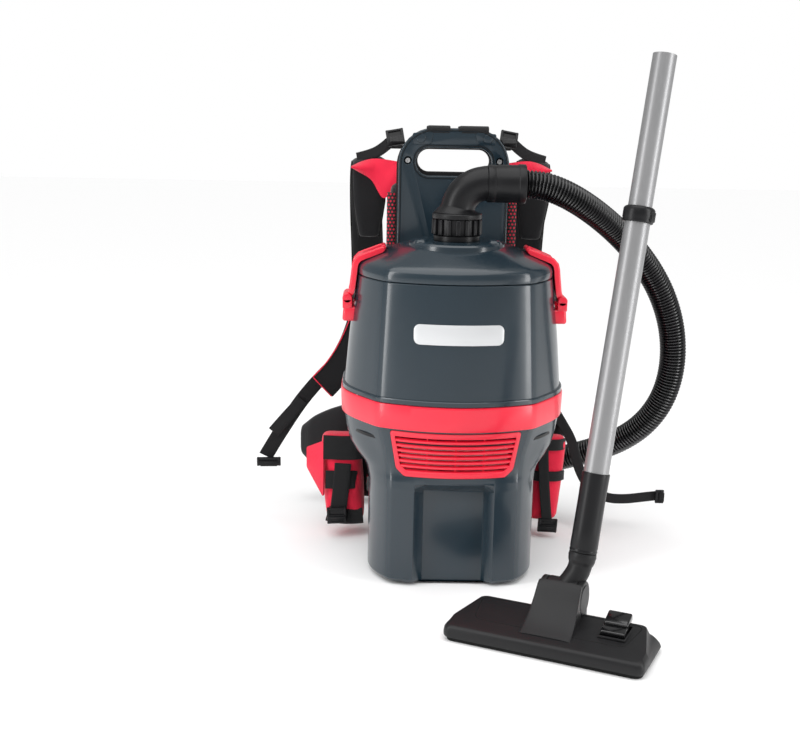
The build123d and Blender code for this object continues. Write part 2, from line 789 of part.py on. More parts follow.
with BuildPart() as tube_ring:
    with BuildSketch(wand.offset(lower_end - ring_length / 2)):
        Circle(lower_r + 4)
    extrude(amount=ring_length)
    with BuildSketch(wand.offset(lower_end - ring_length / 2)):
        Circle(lower_r)
    extrude(amount=ring_length / 2, mode=Mode.SUBTRACT)
    with BuildSketch(wand.offset(lower_end)):
        Circle(upper_r + gap)
    extrude(amount=ring_length / 2, mode=Mode.SUBTRACT)
save(tube_ring, "tube_ring")

with BuildPart() as upper_tube:
    with BuildSketch(wand.offset(upper_start)):
        Circle(upper_r)
        Circle(upper_r - steel, mode=Mode.SUBTRACT)
    extrude(amount=wand_length - upper_start)
save(upper_tube, "upper_tube")

# ---------------------------------------------------------------- floor tool
drum_at = tool.from_local_coords(Vector(0, drum_y, drum_z))
knee = wand.from_local_coords(Vector(0, 0, -19))
with BuildPart() as neck_elbow:
    with BuildSketch(wand.offset(-gap)):
        Circle(tool_cuff_r)
    extrude(amount=gap - 19)
    with Locations(knee):
        Sphere(tool_cuff_r)
    with BuildSketch(Plane(origin=drum_at, z_dir=knee - drum_at)):
        Circle(tool_cuff_r)
    extrude(amount=(knee - drum_at).length)
    with BuildSketch(Plane(origin=drum_at, z_dir=tool.x_dir)):
        Circle(drum_r)
    extrude(amount=drum_half, both=True)
    with BuildSketch(Plane(origin=drum_at, z_dir=tool.x_dir)):
        Circle(6)
    extrude(amount=drum_half + 8, both=True)
save(neck_elbow, "neck_elbow")

well = [(side * wheel_x, drum_y, 0) for side in (-1, 1)]
with BuildPart(tool) as tool_body:
    with Locations((0, 0, (skirt_top + sole) / 2)):
        Box(tool_length, tool_depth, skirt_top - sole)
    fillet(tool_body.edges().filter_by(Axis.Z), 8)
    chamfer(tool_body.faces().sort_by(Axis.Z)[-1].edges(), 3)
    with Locations((0, 0, (skirt_top + sole) / 2 - tool_wall)):
        Box(tool_length - 2 * tool_wall, tool_depth - 2 * tool_wall, skirt_top - sole, mode=Mode.SUBTRACT)
    with Locations((0, drum_y - 22, skirt_top)):  # air way up to the drum
        Box(40, 18, 20, mode=Mode.SUBTRACT)
    with Locations(*well):
        with Locations((0, -2, (skirt_top + sole) / 2)):
            Box(wheel_width + 10, 24, skirt_top - sole)
        with Locations((0, 0, 0)):
            Box(wheel_width + 1, 2 * wheel_r + 4, 2 * (2 * wheel_r + 1.5), mode=Mode.SUBTRACT)
        with Locations((0, 0, wheel_r)):
            Cylinder(2, wheel_width + 8, rotation=(0, 90, 0))
save(tool_body, "tool_body")

with BuildPart(tool) as sole_plate:
    with Locations((0, 0, sole / 2)):
        Box(tool_length - 4, tool_depth - 4, sole)
        with Locations((0, -8, 0)):  # suction mouth
            Box(200, 18, sole, mode=Mode.SUBTRACT)
        with Locations((0, -38, 0), (0, 20, 0)):  # brush slots
            Box(brush_length + 3, 6, sole, mode=Mode.SUBTRACT)
    with Locations(*well):
        Box(wheel_width + 1, 2 * wheel_r + 4, 20, mode=Mode.SUBTRACT)
save(sole_plate, "sole_plate")

with BuildPart(tool) as brush_strips:
    with Locations((0, 0, 7)):
        with Locations((0, -38, 0), (0, 20, 0)):
            Box(brush_length, 3, 12)
save(brush_strips, "brush_strips")

with BuildPart(tool) as tool_cover:
    with BuildSketch(tool.offset(skirt_top)):
        with Locations((0, 4)):
            Rectangle(120, 86)
    with BuildSketch(tool.offset(skirt_top + 22)):
        with Locations((0, 8)):
            Rectangle(74, 50)
    loft()
    with Locations((0, drum_y, 0)):
        for x in (-1, 1):
            with Locations((x * (drum_half + 5), 0, drum_z)):
                Cylinder(15, 8, rotation=(0, 90, 0))
            with Locations((x * (drum_half + 5), 0, (drum_z + skirt_top) / 2)):
                Box(8, 22, drum_z - skirt_top)
        with Locations((0, 0, drum_z)):
            Cylinder(drum_r + 1, 2 * drum_half + 2, rotation=(0, 90, 0), mode=Mode.SUBTRACT)
            Cylinder(6 + bearing, 90, rotation=(0, 90, 0), mode=Mode.SUBTRACT)
    with Locations((0, 0, 0)):
        Box(400, 400, 2 * skirt_top, mode=Mode.SUBTRACT)
save(tool_cover, "tool_cover")

with BuildPart(tool) as pedal:
    with Locations((pedal_x, pedal_y, skirt_top + 9)):
        Box(30, 38, 10)
    fillet(pedal.faces().sort_by(Axis.Z)[-1].edges(), 2)
    with Locations((pedal_x, pedal_y, skirt_top + 4)):  # barrel that it rocks on
        Cylinder(3.6, 30, rotation=(0, 90, 0))
save(pedal, "pedal")

for side, name in ((-1, "wheel_left"), (1, "wheel_right")):
    with BuildPart(tool) as wheel:
        with Locations((side * wheel_x, drum_y, wheel_r)):
            Cylinder(wheel_r, wheel_width, rotation=(0, 90, 0))
        fillet(wheel.edges(), 1.5)
        with Locations((side * wheel_x, drum_y, wheel_r)):
            Cylinder(2 + bearing, wheel_width, rotation=(0, 90, 0), mode=Mode.SUBTRACT)
    save(wheel, name)
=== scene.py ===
"""Backpack vacuum cleaner: the looks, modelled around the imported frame. Metres."""
import json
import math

import bpy
from mathutils import Matrix, Vector


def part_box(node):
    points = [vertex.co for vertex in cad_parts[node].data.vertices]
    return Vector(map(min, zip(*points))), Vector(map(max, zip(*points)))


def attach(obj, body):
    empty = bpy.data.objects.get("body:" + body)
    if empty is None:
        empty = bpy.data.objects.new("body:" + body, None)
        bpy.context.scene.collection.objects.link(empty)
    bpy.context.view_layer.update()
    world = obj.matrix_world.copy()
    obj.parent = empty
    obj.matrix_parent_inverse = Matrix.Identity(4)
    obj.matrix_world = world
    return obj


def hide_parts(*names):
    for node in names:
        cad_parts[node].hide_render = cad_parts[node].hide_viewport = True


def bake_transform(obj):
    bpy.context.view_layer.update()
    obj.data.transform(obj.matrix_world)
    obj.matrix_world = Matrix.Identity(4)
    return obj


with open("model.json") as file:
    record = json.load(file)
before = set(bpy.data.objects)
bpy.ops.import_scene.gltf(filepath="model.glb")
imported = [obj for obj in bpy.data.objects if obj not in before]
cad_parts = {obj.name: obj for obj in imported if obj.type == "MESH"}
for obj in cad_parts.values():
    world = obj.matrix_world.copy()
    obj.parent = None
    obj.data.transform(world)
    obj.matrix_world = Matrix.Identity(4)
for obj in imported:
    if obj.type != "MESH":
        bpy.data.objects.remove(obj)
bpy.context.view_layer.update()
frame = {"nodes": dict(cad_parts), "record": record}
D = bpy.data

# ------------------------------------------------------------------ camera
pitch, yaw, roll = math.radians(12.375), math.radians(1.263), math.radians(1.1)
look = Vector((math.sin(yaw) * math.cos(pitch), math.cos(yaw) * math.cos(pitch), -math.sin(pitch)))
right = Vector((math.cos(yaw), -math.sin(yaw), 0))
up = right.cross(look)
side_axis = right * math.cos(roll) + up * math.sin(roll)
up_axis = up * math.cos(roll) - right * math.sin(roll)
camera = D.objects.new("camera", D.cameras.new("camera"))
bpy.context.collection.objects.link(camera)
camera.matrix_world = Matrix.LocRotScale(
    Vector((-0.1126, -1.72, 0.65)), Matrix((side_axis, up_axis, -look)).transposed(), None)
camera.data.sensor_width = 36
camera.data.lens = 55.58
bpy.context.scene.camera = camera


# ------------------------------------------------------------------ modelling helpers
def deselect():
    bpy.ops.object.select_all(action="DESELECT")


def active(piece):
    deselect()
    piece.select_set(True)
    bpy.context.view_layer.objects.active = piece
    return piece


def applied(piece, kind, **settings):
    """Adds a modifier and applies it."""
    modifier = piece.modifiers.new(kind, kind)
    for key, value in settings.items():
        setattr(modifier, key, value)
    active(piece)
    bpy.ops.object.modifier_apply(modifier=modifier.name)
    return piece


def fixed(piece):
    """Puts the piece's place into its mesh."""
    active(piece)
    bpy.ops.object.transform_apply(location=True, rotation=True, scale=True)
    return piece


def settled(piece, angle=35):
    """Puts the piece's place into its mesh and shades it."""
    fixed(piece)
    bpy.ops.object.shade_smooth_by_angle(angle=math.radians(angle))
    return piece


def linked(name, data):
    """A new object in the scene."""
    piece = D.objects.new(name, data)
    bpy.context.collection.objects.link(piece)
    return piece


def mesh_piece(name, points, faces):
    mesh = D.meshes.new(name)
    mesh.from_pydata([tuple(p) for p in points], [], faces)
    mesh.validate()
    return linked(name, mesh)


def outward(piece):
    active(piece)
    bpy.ops.object.mode_set(mode="EDIT")
    bpy.ops.mesh.select_all(action="SELECT")
    bpy.ops.mesh.remove_doubles(threshold=1e-6)
    bpy.ops.mesh.normals_make_consistent(inside=False)
    bpy.ops.object.mode_set(mode="OBJECT")
    return piece


def lofted(name, rings, first=False, last=False, closed=True):
    """A skin over rings that all have the same number of points, its ends closed if asked."""
    count = len(rings[0])
    points = [p for ring in rings for p in ring]
    faces = []
    for r in range(len(rings) - 1):
        for i in range(count if closed else count - 1):
            j = (i + 1) % count
            faces.append((r * count + i, r * count + j, (r + 1) * count + j, (r + 1) * count + i))
    if first:
        faces.append(tuple(reversed(range(count))))
    if last:
        faces.append(tuple(range((len(rings) - 1) * count, len(rings) * count)))
    return outward(mesh_piece(name, points, faces))


def joined(name, pieces):
    deselect()
    for piece in pieces:
        piece.select_set(True)
    bpy.context.view_layer.objects.active = pieces[0]
    if len(pieces) > 1:
        bpy.ops.object.join()
    whole = bpy.context.view_layer.objects.active
    whole.name = name
    whole.data.name = name
    return whole


def block(size, at, bevel=0.0, segments=3, turn=(0, 0, 0)):
    """A cube shaped to a size, its edges rounded."""
    deselect()
    bpy.ops.mesh.primitive_cube_add(size=1, location=at, rotation=turn)
    piece = bpy.context.object
    piece.scale = size
    bpy.ops.object.transform_apply(location=False, rotation=False, scale=True)
    if bevel:
        applied(piece, "BEVEL", width=bevel, segments=segments, limit_method="ANGLE", angle_limit=0.6)
    return fixed(piece)


def round_bar(radius, length, at, axis, bevel=0.0, sides=48):
    """A cylinder along an axis, its end edges rounded."""
    deselect()
    bpy.ops.mesh.primitive_cylinder_add(vertices=sides, radius=radius, depth=length)
    piece = bpy.context.object
    if bevel:
        applied(piece, "BEVEL", width=bevel, segments=3, limit_method="ANGLE", angle_limit=0.6)
    piece.rotation_euler = Vector(axis).to_track_quat("Z", "Y").to_euler()
    piece.location = at
    return fixed(piece)


def turned(name, profile, at=(0, 0, 0), axis=(0, 0, 1), steps=72):
    """A profile of (radius, height) points spun about an axis."""
    rings = [[(r * math.cos(t), r * math.sin(t), h) for t in
              (2 * math.pi * i / steps for i in range(steps))] for r, h in profile]
    piece = lofted(name, rings)
    piece.rotation_euler = Vector(axis).to_track_quat("Z", "Y").to_euler()
    piece.location = at
    return settled(piece, 40)


def sliced(piece, cuts, spacing):
    """Cuts a piece by evenly spaced planes across x, so that it can bend."""
    active(piece)
    bpy.ops.object.mode_set(mode="EDIT")
    for k in range(1, cuts + 1):
        bpy.ops.mesh.select_all(action="SELECT")
        bpy.ops.mesh.bisect(plane_co=((k - (cuts + 1) / 2) * spacing, 0, 0), plane_no=(1, 0, 0))
    bpy.ops.object.mode_set(mode="OBJECT")
    return piece


def set_back(piece, depth):
    """Shifts a piece's points toward the rear."""
    for vertex in piece.data.vertices:
        vertex.co.y += depth
    return piece


def cut(piece, tool):
    """Takes one piece away from another."""
    applied(piece, "BOOLEAN", operation="DIFFERENCE", object=tool, solver="EXACT")
    D.objects.remove(tool)
    return piece


def panel(name, outline, thickness, bevel=0.0, segments=3):
    """A flat outline in XZ given thickness towards +Y, its edges rounded."""
    piece = mesh_piece(name, outline, [tuple(range(len(outline)))])
    active(piece)
    bpy.ops.object.mode_set(mode="EDIT")
    bpy.ops.mesh.select_all(action="SELECT")
    bpy.ops.mesh.extrude_region_move(TRANSFORM_OT_translate={"value": (0, thickness, 0)})
    bpy.ops.object.mode_set(mode="OBJECT")
    outward(piece)
    if bevel:
        applied(piece, "BEVEL", width=bevel, segments=segments, limit_method="ANGLE", angle_limit=0.9)
    return piece


def rounded_corners(corners, radius, steps=6):
    """A closed outline of (x, z) corners with each corner turned into an arc."""
    points = []
    count = len(corners)
    for i, corner in enumerate(corners):
        r = radius[i] if isinstance(radius, (list, tuple)) else radius
        here = Vector(corner)
        a = (Vector(corners[i - 1]) - here).normalized()
        b = (Vector(corners[(i + 1) % count]) - here).normalized()
        half = a.angle(b) / 2
        reach = r / math.tan(half)
        centre = here + (a + b).normalized() * (r / math.sin(half))
        start, end = here + a * reach - centre, here + b * reach - centre
        for k in range(steps + 1):
            arm = start.lerp(end, k / steps)
            points.append(centre + arm.normalized() * r)
    return points


# ------------------------------------------------------------------ shader helpers
class Num:
    """A shader value that Python operators build Math nodes from."""

    def __init__(self, shader, socket):
        self.shader, self.socket = shader, socket

    def op(self, operation, *values):
        return self.shader.value("ShaderNodeMath", {"operation": operation}, dict(enumerate(values)))

    def __add__(self, other):
        return self.op("ADD", self, other)

    def __sub__(self, other):
        return self.op("SUBTRACT", self, other)

    def __mul__(self, other):
        return self.op("MULTIPLY", self, other)

    def __truediv__(self, other):
        return self.op("DIVIDE", self, other)

    def __pow__(self, other):
        return self.op("POWER", self, other)

    __radd__ = __add__

    def sin(self):
        return self.op("SINE", self)

    def fract(self):
        return self.op("FRACT", self)

    def floor(self):
        return self.op("FLOOR", self)

    def absolute(self):
        return self.op("ABSOLUTE", self)

    def below(self, limit):
        return self.op("LESS_THAN", self, limit)


class Finish:
    """A material and its node tree."""

    def __init__(self, name, colour, roughness, **sockets):
        self.material = D.materials.new(name)
        self.material.use_nodes = True
        self.tree = self.material.node_tree
        self.base = self.tree.nodes["Principled BSDF"]
        self.set("Base Color", (*colour, 1))
        self.set("Roughness", roughness)
        for key, value in sockets.items():
            self.set(key.replace("_", " ").title().replace("Ior", "IOR"), value)

    def set(self, socket, value):
        target = self.base.inputs[socket]
        if isinstance(value, Num):
            self.tree.links.new(value.socket, target)
        elif isinstance(value, bpy.types.NodeSocket):
            self.tree.links.new(value, target)
        else:
            target.default_value = value

    def node(self, kind, settings=None, inputs=None):
        """Adds a node: its settings first, then the values or links of its sockets."""
        node = self.tree.nodes.new(kind)
        for key, value in (settings or {}).items():
            if key == "stops":
                ramp = node.color_ramp
                while len(ramp.elements) < len(value):
                    ramp.elements.new(0.5)
                for element, (place, colour) in zip(ramp.elements, value):
                    element.position, element.color = place, colour
            else:
                setattr(node, key, value)
        for key, value in (inputs or {}).items():
            target = node.inputs[key]
            if isinstance(value, Num):
                value = value.socket
            if isinstance(value, bpy.types.NodeSocket):
                self.tree.links.new(value, target)
            else:
                target.default_value = value
        return node

    def value(self, kind, settings=None, inputs=None, output=0):
        return Num(self, self.node(kind, settings, inputs).outputs[output])

    def place(self, source="Object"):
        """The x, y and z of the object or UV coordinates."""
        split = self.node("ShaderNodeSeparateXYZ", None,
                          {0: self.node("ShaderNodeTexCoord").outputs[source]})
        return [Num(self, split.outputs[i]) for i in range(3)]

    def noise(self, scale, detail=3.0, roughness=0.5):
        where = self.node("ShaderNodeTexCoord").outputs["Object"]
        return self.value("ShaderNodeTexNoise", None,
                          {"Vector": where, "Scale": scale, "Detail": detail, "Roughness": roughness})

    def mix(self, factor, a, b):
        """A colour between a and b."""
        node = self.node("ShaderNodeMix", {"data_type": "RGBA"}, {0: factor})
        for key, value in ((6, a), (7, b)):
            if isinstance(value, tuple):
                node.inputs[key].default_value = (*value, 1) if len(value) == 3 else value
            else:
                self.tree.links.new(value, node.inputs[key])
        return node.outputs[2]

    def bump(self, height, strength, distance):
        bump = self.node("ShaderNodeBump", None,
                         {"Height": height, "Strength": strength, "Distance": distance})
        self.set("Normal", bump.outputs[0])


def shade(colour, factor):
    return tuple(min(1.0, c * factor) for c in colour)


def moulded(name, colour, roughness, grain=0.12, **sockets):
    """Moulded plastic: a faint flow in the colour, fine grain and uneven gloss."""
    finish = Finish(name, colour, roughness, **sockets)
    flow = finish.noise(9.0, 2.0)
    finish.set("Base Color", finish.mix(flow, shade(colour, 0.93), shade(colour, 1.08)))
    smear = finish.noise(38.0, 4.0)
    finish.set("Roughness", roughness * 0.85 + smear * (roughness * 0.3))
    finish.bump(finish.noise(900.0, 2.0) * 0.7 + finish.noise(60.0, 2.0) * 0.3, grain, 0.0004)
    return finish.material


def brushed(name, colour, roughness):
    """Painted steel tube with a slight uneven sheen."""
    finish = Finish(name, colour, roughness, metallic=0.55)
    finish.set("Base Color", finish.mix(finish.noise(14.0, 3.0), shade(colour, 0.94), shade(colour, 1.06)))
    finish.set("Roughness", roughness + finish.noise(180.0, 3.0) * 0.12)
    finish.bump(finish.noise(1400.0, 2.0), 0.12, 0.0002)
    return finish.material


def woven(name, colour, pitch, roughness=0.85, depth=0.5):
    """Plain weave: threads over and under."""
    finish = Finish(name, colour, roughness, sheen_weight=0.3, specular_ior_level=0.2)
    x, y, z = finish.place()
    a, b = (x + y) / pitch, z / pitch
    warp = (a * (2 * math.pi)).sin()
    weft = (b * (2 * math.pi)).sin()
    cloth = (warp * weft) * 0.5 + 0.5
    dust = finish.noise(30.0, 4.0)
    shade_by = cloth * 0.6 + dust * 0.4
    finish.set("Base Color", finish.mix(shade_by, shade(colour, 0.62), shade(colour, 1.35)))
    finish.bump(cloth * 0.8 + finish.noise(700.0, 2.0) * 0.2, depth, 0.0006)
    return finish.material


def ribbed_webbing(name, colour):
    """Nylon webbing: herringbone ribs across the strap, on UV in metres."""
    finish = Finish(name, colour, 0.62, sheen_weight=0.12, specular_ior_level=0.25)
    u, v, _ = finish.place("UV")
    zigzag = ((v / 0.0032).fract() - 0.5).absolute() * 0.0022
    rib = (((u + zigzag) / 0.0014).fract() - 0.5).absolute() * 2
    finish.set("Base Color", finish.mix(rib, shade(colour, 0.55), shade(colour, 1.5)))
    finish.set("Roughness", 0.5 + rib * 0.25)
    finish.bump(rib, 0.7, 0.0005)
    return finish.material


slate_colour, red_colour = (0.0115, 0.0235, 0.0335), (0.80, 0.012, 0.040)
slate = moulded("slate_gloss", slate_colour, 0.24, 0.08, coat_weight=0.25, coat_roughness=0.10)
red = moulded("red_gloss", red_colour, 0.32, 0.08, coat_weight=0.25, coat_roughness=0.15)
black_satin = moulded("black_satin", (0.0065, 0.0065, 0.0075), 0.36, 0.12, specular_ior_level=0.28)
black_gloss = moulded("black_gloss", (0.0035, 0.0035, 0.004), 0.16, 0.05, coat_weight=0.3)
hose_black = moulded("hose_black", (0.0035, 0.0035, 0.0042), 0.22, 0.05, coat_weight=0.2)
tube_silver = brushed("tube_silver", (0.30, 0.30, 0.305), 0.34)
steel = brushed("steel", (0.62, 0.62, 0.62), 0.25)
tool_black = moulded("tool_black", (0.0100, 0.0100, 0.0108), 0.44, 0.25, specular_ior_level=0.28)
rubber = moulded("rubber_black", (0.006, 0.006, 0.006), 0.75, 0.3, specular_ior_level=0.25)
fabric_black = woven("fabric_black", (0.0050, 0.0050, 0.0062), 0.0016)
fabric_red = woven("fabric_red", (0.74, 0.010, 0.045), 0.0018, 0.75)
webbing_black = ribbed_webbing("webbing_black", (0.0055, 0.0055, 0.0065))
filter_cloth = woven("filter_cloth", (0.62, 0.62, 0.58), 0.0025, 0.9)
bag_paper = woven("bag_paper", (0.62, 0.55, 0.42), 0.0009, 0.9, 0.2)
badge = moulded("badge_silver", (0.66, 0.67, 0.68), 0.3, 0.05, metallic=0.2)
circuit = moulded("circuit", (0.01, 0.11, 0.035), 0.4, 0.1)


def painted(piece, *materials):
    piece.data.materials.clear()
    for material in materials:
        piece.data.materials.append(material)
    return piece


def placed(piece, body, slot, material, *nodes, angle=None):
    """Finishes a piece: its material, the body it rides on and the nodes it stands for."""
    if angle is not None:
        settled(piece, angle)
    if material:
        painted(piece, material)
    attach(piece, body)
    if nodes:
        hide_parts(*nodes)
    return piece


# ------------------------------------------------------------------ body shells
axis_y = -0.005
back_y = 0.100
recess_y = -0.095


def half_plan(half, front, facet_x, bow, side_y, recess=0.0, corner=0.042):
    """Right half of the body's plan: bowed front, bevelled edge, side and rear corner."""
    points = []
    inner, outer = 0.0412, 0.0552
    for x in (0, 0.014, 0.028, 0.0386, 0.0402, 0.0412, 0.0424, 0.0540, 0.0552, 0.0562, 0.064,
              facet_x * 0.82, facet_x - 0.008, facet_x - 0.0012):
        y = front + bow * (x / facet_x) ** 2
        if recess:
            depth = min(1.0, max(0.0, (outer - x) / (outer - inner)))
            y += (recess_y - y) * recess * depth
        points.append((x, y))
    edge = Vector((facet_x, front + bow))
    far = edge + Vector((0.0068, 0.0064))
    points += [tuple(edge + Vector((0.0009, 0.0008))), tuple(far - Vector((0.0009, 0.0008)))]
    reach = (Vector((half, side_y)) - far).length
    p1 = far + Vector((math.cos(0.96), math.sin(0.96))) * reach * 0.36
    p2 = Vector((half, side_y - reach * 0.36))
    p3 = Vector((half, side_y))
    start = far + (p1 - far) * 0.03
    for k in range(12):
        t = k / 11
        p = start * (1 - t) ** 3 + p1 * 3 * t * (1 - t) ** 2 + p2 * 3 * t * t * (1 - t) + p3 * t ** 3
        points.append((p.x, p.y))
    points += [(half, side_y + (back_y - corner - side_y) * k / 3) for k in (1, 2)]
    for k in range(11):
        t = math.pi / 2 * k / 10
        points.append((half - corner + corner * math.cos(t), back_y - corner + corner * math.sin(t)))
    points += [((half - corner) * k / 3, back_y) for k in (2, 1)]
    return points


def body_ring(z, *shape, scale=1.0, **more):
    """The whole plan at height z, shrunk about the upright axis if asked."""
    half = half_plan(*shape, **more)
    whole = half + [(0, back_y)] + [(-x, y) for x, y in reversed(half[1:])]
    return [(x * scale, axis_y + (y - axis_y) * scale, z) for x, y in whole]


def between(a, b, t):
    return [p + (q - p) * t for p, q in zip(a, b)]


def body_levels(levels, heights):
    """Shapes at many heights, read from a few (height, shape) levels."""
    rings = []
    for z in heights:
        for (z0, low), (z1, high) in zip(levels, levels[1:]):
            if z0 <= z <= z1:
                rings.append((z, between(low, high, (z - z0) / (z1 - z0))))
                break
    return rings


# half width, front, facet place, bow of the front, where the side is upright
canister_shape = [
    (0.259, (0.1545, -0.1255, 0.1025, 0.0265, 0.009)),
    (0.335, (0.1475, -0.1210, 0.0990, 0.0250, 0.009)),
    (0.421, (0.1375, -0.1150, 0.0950, 0.0240, 0.009)),
]
rim_shape = canister_shape[-1][1]

# canister, with its dark lip above the band and the rim under the lid
rings = [body_ring(z, *shape) for z, shape in body_levels(
    canister_shape, (0.2672, 0.268, 0.29, 0.312, 0.334, 0.3365, 0.36, 0.385, 0.405, 0.4180, 0.4196))]
lip = canister_shape[0][1]
rings = [body_ring(z, lip[0] + grow, lip[1] - grow, *lip[2:]) for z, grow in
         ((0.2592, 0.0016), (0.2600, 0.0024), (0.2652, 0.0024), (0.2664, 0.0016))] + rings
rings.append(body_ring(0.4207, rim_shape[0] - 0.0012, rim_shape[1] + 0.0012, *rim_shape[2:]))
canister = lofted("canister_shell", rings)
applied(canister, "SOLIDIFY", thickness=0.003, offset=-1)
placed(canister, "pack", "slate_gloss", slate, "canister", angle=22)

# bumper band
band = (0.1558, -0.1255, 0.1032, 0.0268, 0.009)
rings = [body_ring(z, band[0] + grow, band[1] - grow, *band[2:]) for z, grow in (
    (0.2242, 0.0002), (0.2247, 0.0012), (0.2262, 0.0018), (0.240, 0.0024), (0.2560, 0.0028),
    (0.2580, 0.0020), (0.2588, 0.0006))]
bumper = lofted("bumper_shell", rings)
applied(bumper, "SOLIDIFY", thickness=0.004, offset=-1)
placed(bumper, "pack", "red_gloss", red, "bumper_band", angle=22)

# lower housing: legs with the recess between them, flaring out to the band
leg = (0.1172, -0.1165, 0.0865, 0.0135, -0.030)
housing_shape = [
    (0.003, leg), (0.138, leg),
    (0.150, (0.1200, -0.1165, 0.0865, 0.0150, -0.022)),
    (0.158, (0.1245, -0.1160, 0.0870, 0.0170, -0.012)),
    (0.170, (0.1360, -0.1165, 0.0885, 0.0195, -0.004)),
    (0.184, (0.1455, -0.1180, 0.0905, 0.0215, 0.002)),
    (0.204, (0.1508, -0.1210, 0.0955, 0.0240, 0.006)),
    (0.224, (0.1540, -0.1235, 0.1005, 0.0262, 0.009)),
]
recess_fade = {0.1325: 1.0, 0.1345: 0.985, 0.136: 0.93, 0.146: 0.16, 0.148: 0.04, 0.150: 0.0}
heights = (0.009, 0.0115, 0.014, 0.030, 0.06, 0.09, 0.115, 0.1325, 0.1345, 0.136, 0.138, 0.141, 0.146,
           0.148, 0.150, 0.154, 0.158, 0.163, 0.170, 0.177, 0.184, 0.194, 0.204, 0.214, 0.2215, 0.2236)
rings = []
for z, inset in ((0.003, 0.0085), (0.0033, 0.0060), (0.0042, 0.0036), (0.0058, 0.0018), (0.0075, 0.0006)):
    rings.append(body_ring(z, leg[0] - inset, leg[1] + inset, leg[2] - inset, *leg[3:], recess=1.0))
for z, shape in body_levels(housing_shape, heights):
    fade = recess_fade.get(z, 1.0 if z < 0.1325 else max(0.0, (0.1478 - z) / 0.0125 if z < 0.150 else 0.0))
    rings.append(body_ring(z, *shape, recess=fade))
housing = lofted("housing_shell", rings, first=True)
applied(housing, "SOLIDIFY", thickness=0.003, offset=-1)


def front_y(x, z):
    """How far forward the housing's front face stands."""
    shape = body_levels(housing_shape, (z,))[0][1]
    return shape[1] + shape[3] * (x / shape[2]) ** 2


def draped_front(piece, lift=0.0):
    """Moves a flat piece modelled about y = 0 onto the curved front face."""
    for vertex in piece.data.vertices:
        vertex.co.y += front_y(vertex.co.x, min(max(vertex.co.z, 0.15), 0.2239)) - lift
    return piece


def grille_outline(grow):
    top, low, foot = 0.2215 + grow, 0.1680, 0.1575 - grow
    corners = [(-0.0895 - grow, top), (-0.0805 - grow, low), (-0.0690, foot), (0.0690, foot),
               (0.0805 + grow, low), (0.0895 + grow, top)]
    return [(p.x, 0, p.y) for p in rounded_corners(corners, [0.004, 0.010, 0.008, 0.008, 0.010, 0.004])]


window = panel("window", [(x, -0.16, z) for x, _, z in grille_outline(0.0004)], 0.11)
cut(housing, window)
for size, at in (((0.02, 0.0815, 0.0615), (0.118, 0.018, 0.050)),
                 ((0.02, 0.0250, 0.0130), (0.118, 0.018, 0.0949)),
                 ((0.02, 0.0164, 0.0244), (-0.118, 0.018, 0.110))):
    cut(housing, block(size, at, 0.0005, 1))
placed(housing, "pack", "slate_gloss", slate, "lower_housing", angle=22)

# exhaust grille: a rim, seven open slots between slanted louvres and three ribs behind
rim = panel("rim", grille_outline(0.0), 0.010)
hole = [(x * 0.925, -0.02, 0.1905 + (z - 0.1905) * 0.80) for x, _, z in grille_outline(0.0)]
cut(rim, panel("hole", hole, 0.05))
applied(rim, "BEVEL", width=0.0011, segments=3, limit_method="ANGLE", angle_limit=0.9)
grille_parts = [rim]
for row in range(8):
    z = 0.1650 + row * 0.0073
    width = 2 * (0.0755 + (z - 0.168) * 0.16) * (0.93 if row == 0 else 1.0)
    bar = block((width, 0.0065, 0.0034), (0, 0.0035, z), 0.0010, 2, turn=(0.45, 0, 0))
    grille_parts.append(sliced(bar, 23, width / 24))
for x in (-0.0385, 0, 0.0385):
    grille_parts.append(block((0.0016, 0.0050, 0.058), (x, 0.0066, 0.191), 0.0003, 1))
grille = joined("grille_louvres", grille_parts)
sliced(grille, 17, 0.01)
draped_front(grille, 0.0012)
placed(grille, "pack", "red_gloss", red, "exhaust_grille", angle=30)

# blank badge on the canister
outline = rounded_corners([(-0.0600, 0.3690), (-0.0600, 0.3420), (0.0600, 0.3420), (0.0600, 0.3690)], 0.008)
plate = panel("badge", [(p.x, 0, p.y) for p in outline], 0.0016, 0.0005, 2)
sliced(plate, 15, 0.0075)
for vertex in plate.data.vertices:
    shape = body_levels(canister_shape, (vertex.co.z,))[0][1]
    vertex.co.y += shape[1] + shape[3] * (vertex.co.x / shape[2]) ** 2 - 0.0012
placed(plate, "pack", "badge_silver", badge, "badge_plate", angle=30)

# ------------------------------------------------------------------ lid
lid_profile = [  # height, share of the rim's size
    (0.4216, 0.992), (0.4222, 0.997), (0.4234, 1.0), (0.4300, 0.998), (0.4340, 0.990), (0.4372, 0.975),
    (0.4398, 0.950), (0.4430, 0.900), (0.4475, 0.820), (0.4520, 0.735), (0.4560, 0.660), (0.4600, 0.580),
    (0.4635, 0.500), (0.4650, 0.420), (0.4655, 0.260),
]
rings = [body_ring(z, *rim_shape, scale=scale) for z, scale in lid_profile]
dome = lofted("dome", rings)
applied(dome, "SOLIDIFY", thickness=0.003, offset=-1)
boss = turned("boss", [(0.0246, 0.460), (0.0246, 0.4690), (0.0250, 0.4694), (0.0600, 0.4694),
                       (0.0640, 0.4684),
                       (0.0665, 0.4660), (0.0672, 0.4630), (0.0672, 0.4560)], (0, axis_y, 0))
lugs = []
for side in (-1, 1):
    lugs.append(turned("lug", [(0.0004, 0.0040), (0.0040, 0.0038), (0.0078, 0.0026), (0.0098, 0.0),
                         (0.0102, -0.0040)], (side * 0.050, -0.030, 0.4694), steps=40))
lid = joined("lid_shell", [dome, boss, *lugs])
placed(lid, "lid", "slate_gloss", slate, "lid", angle=24)


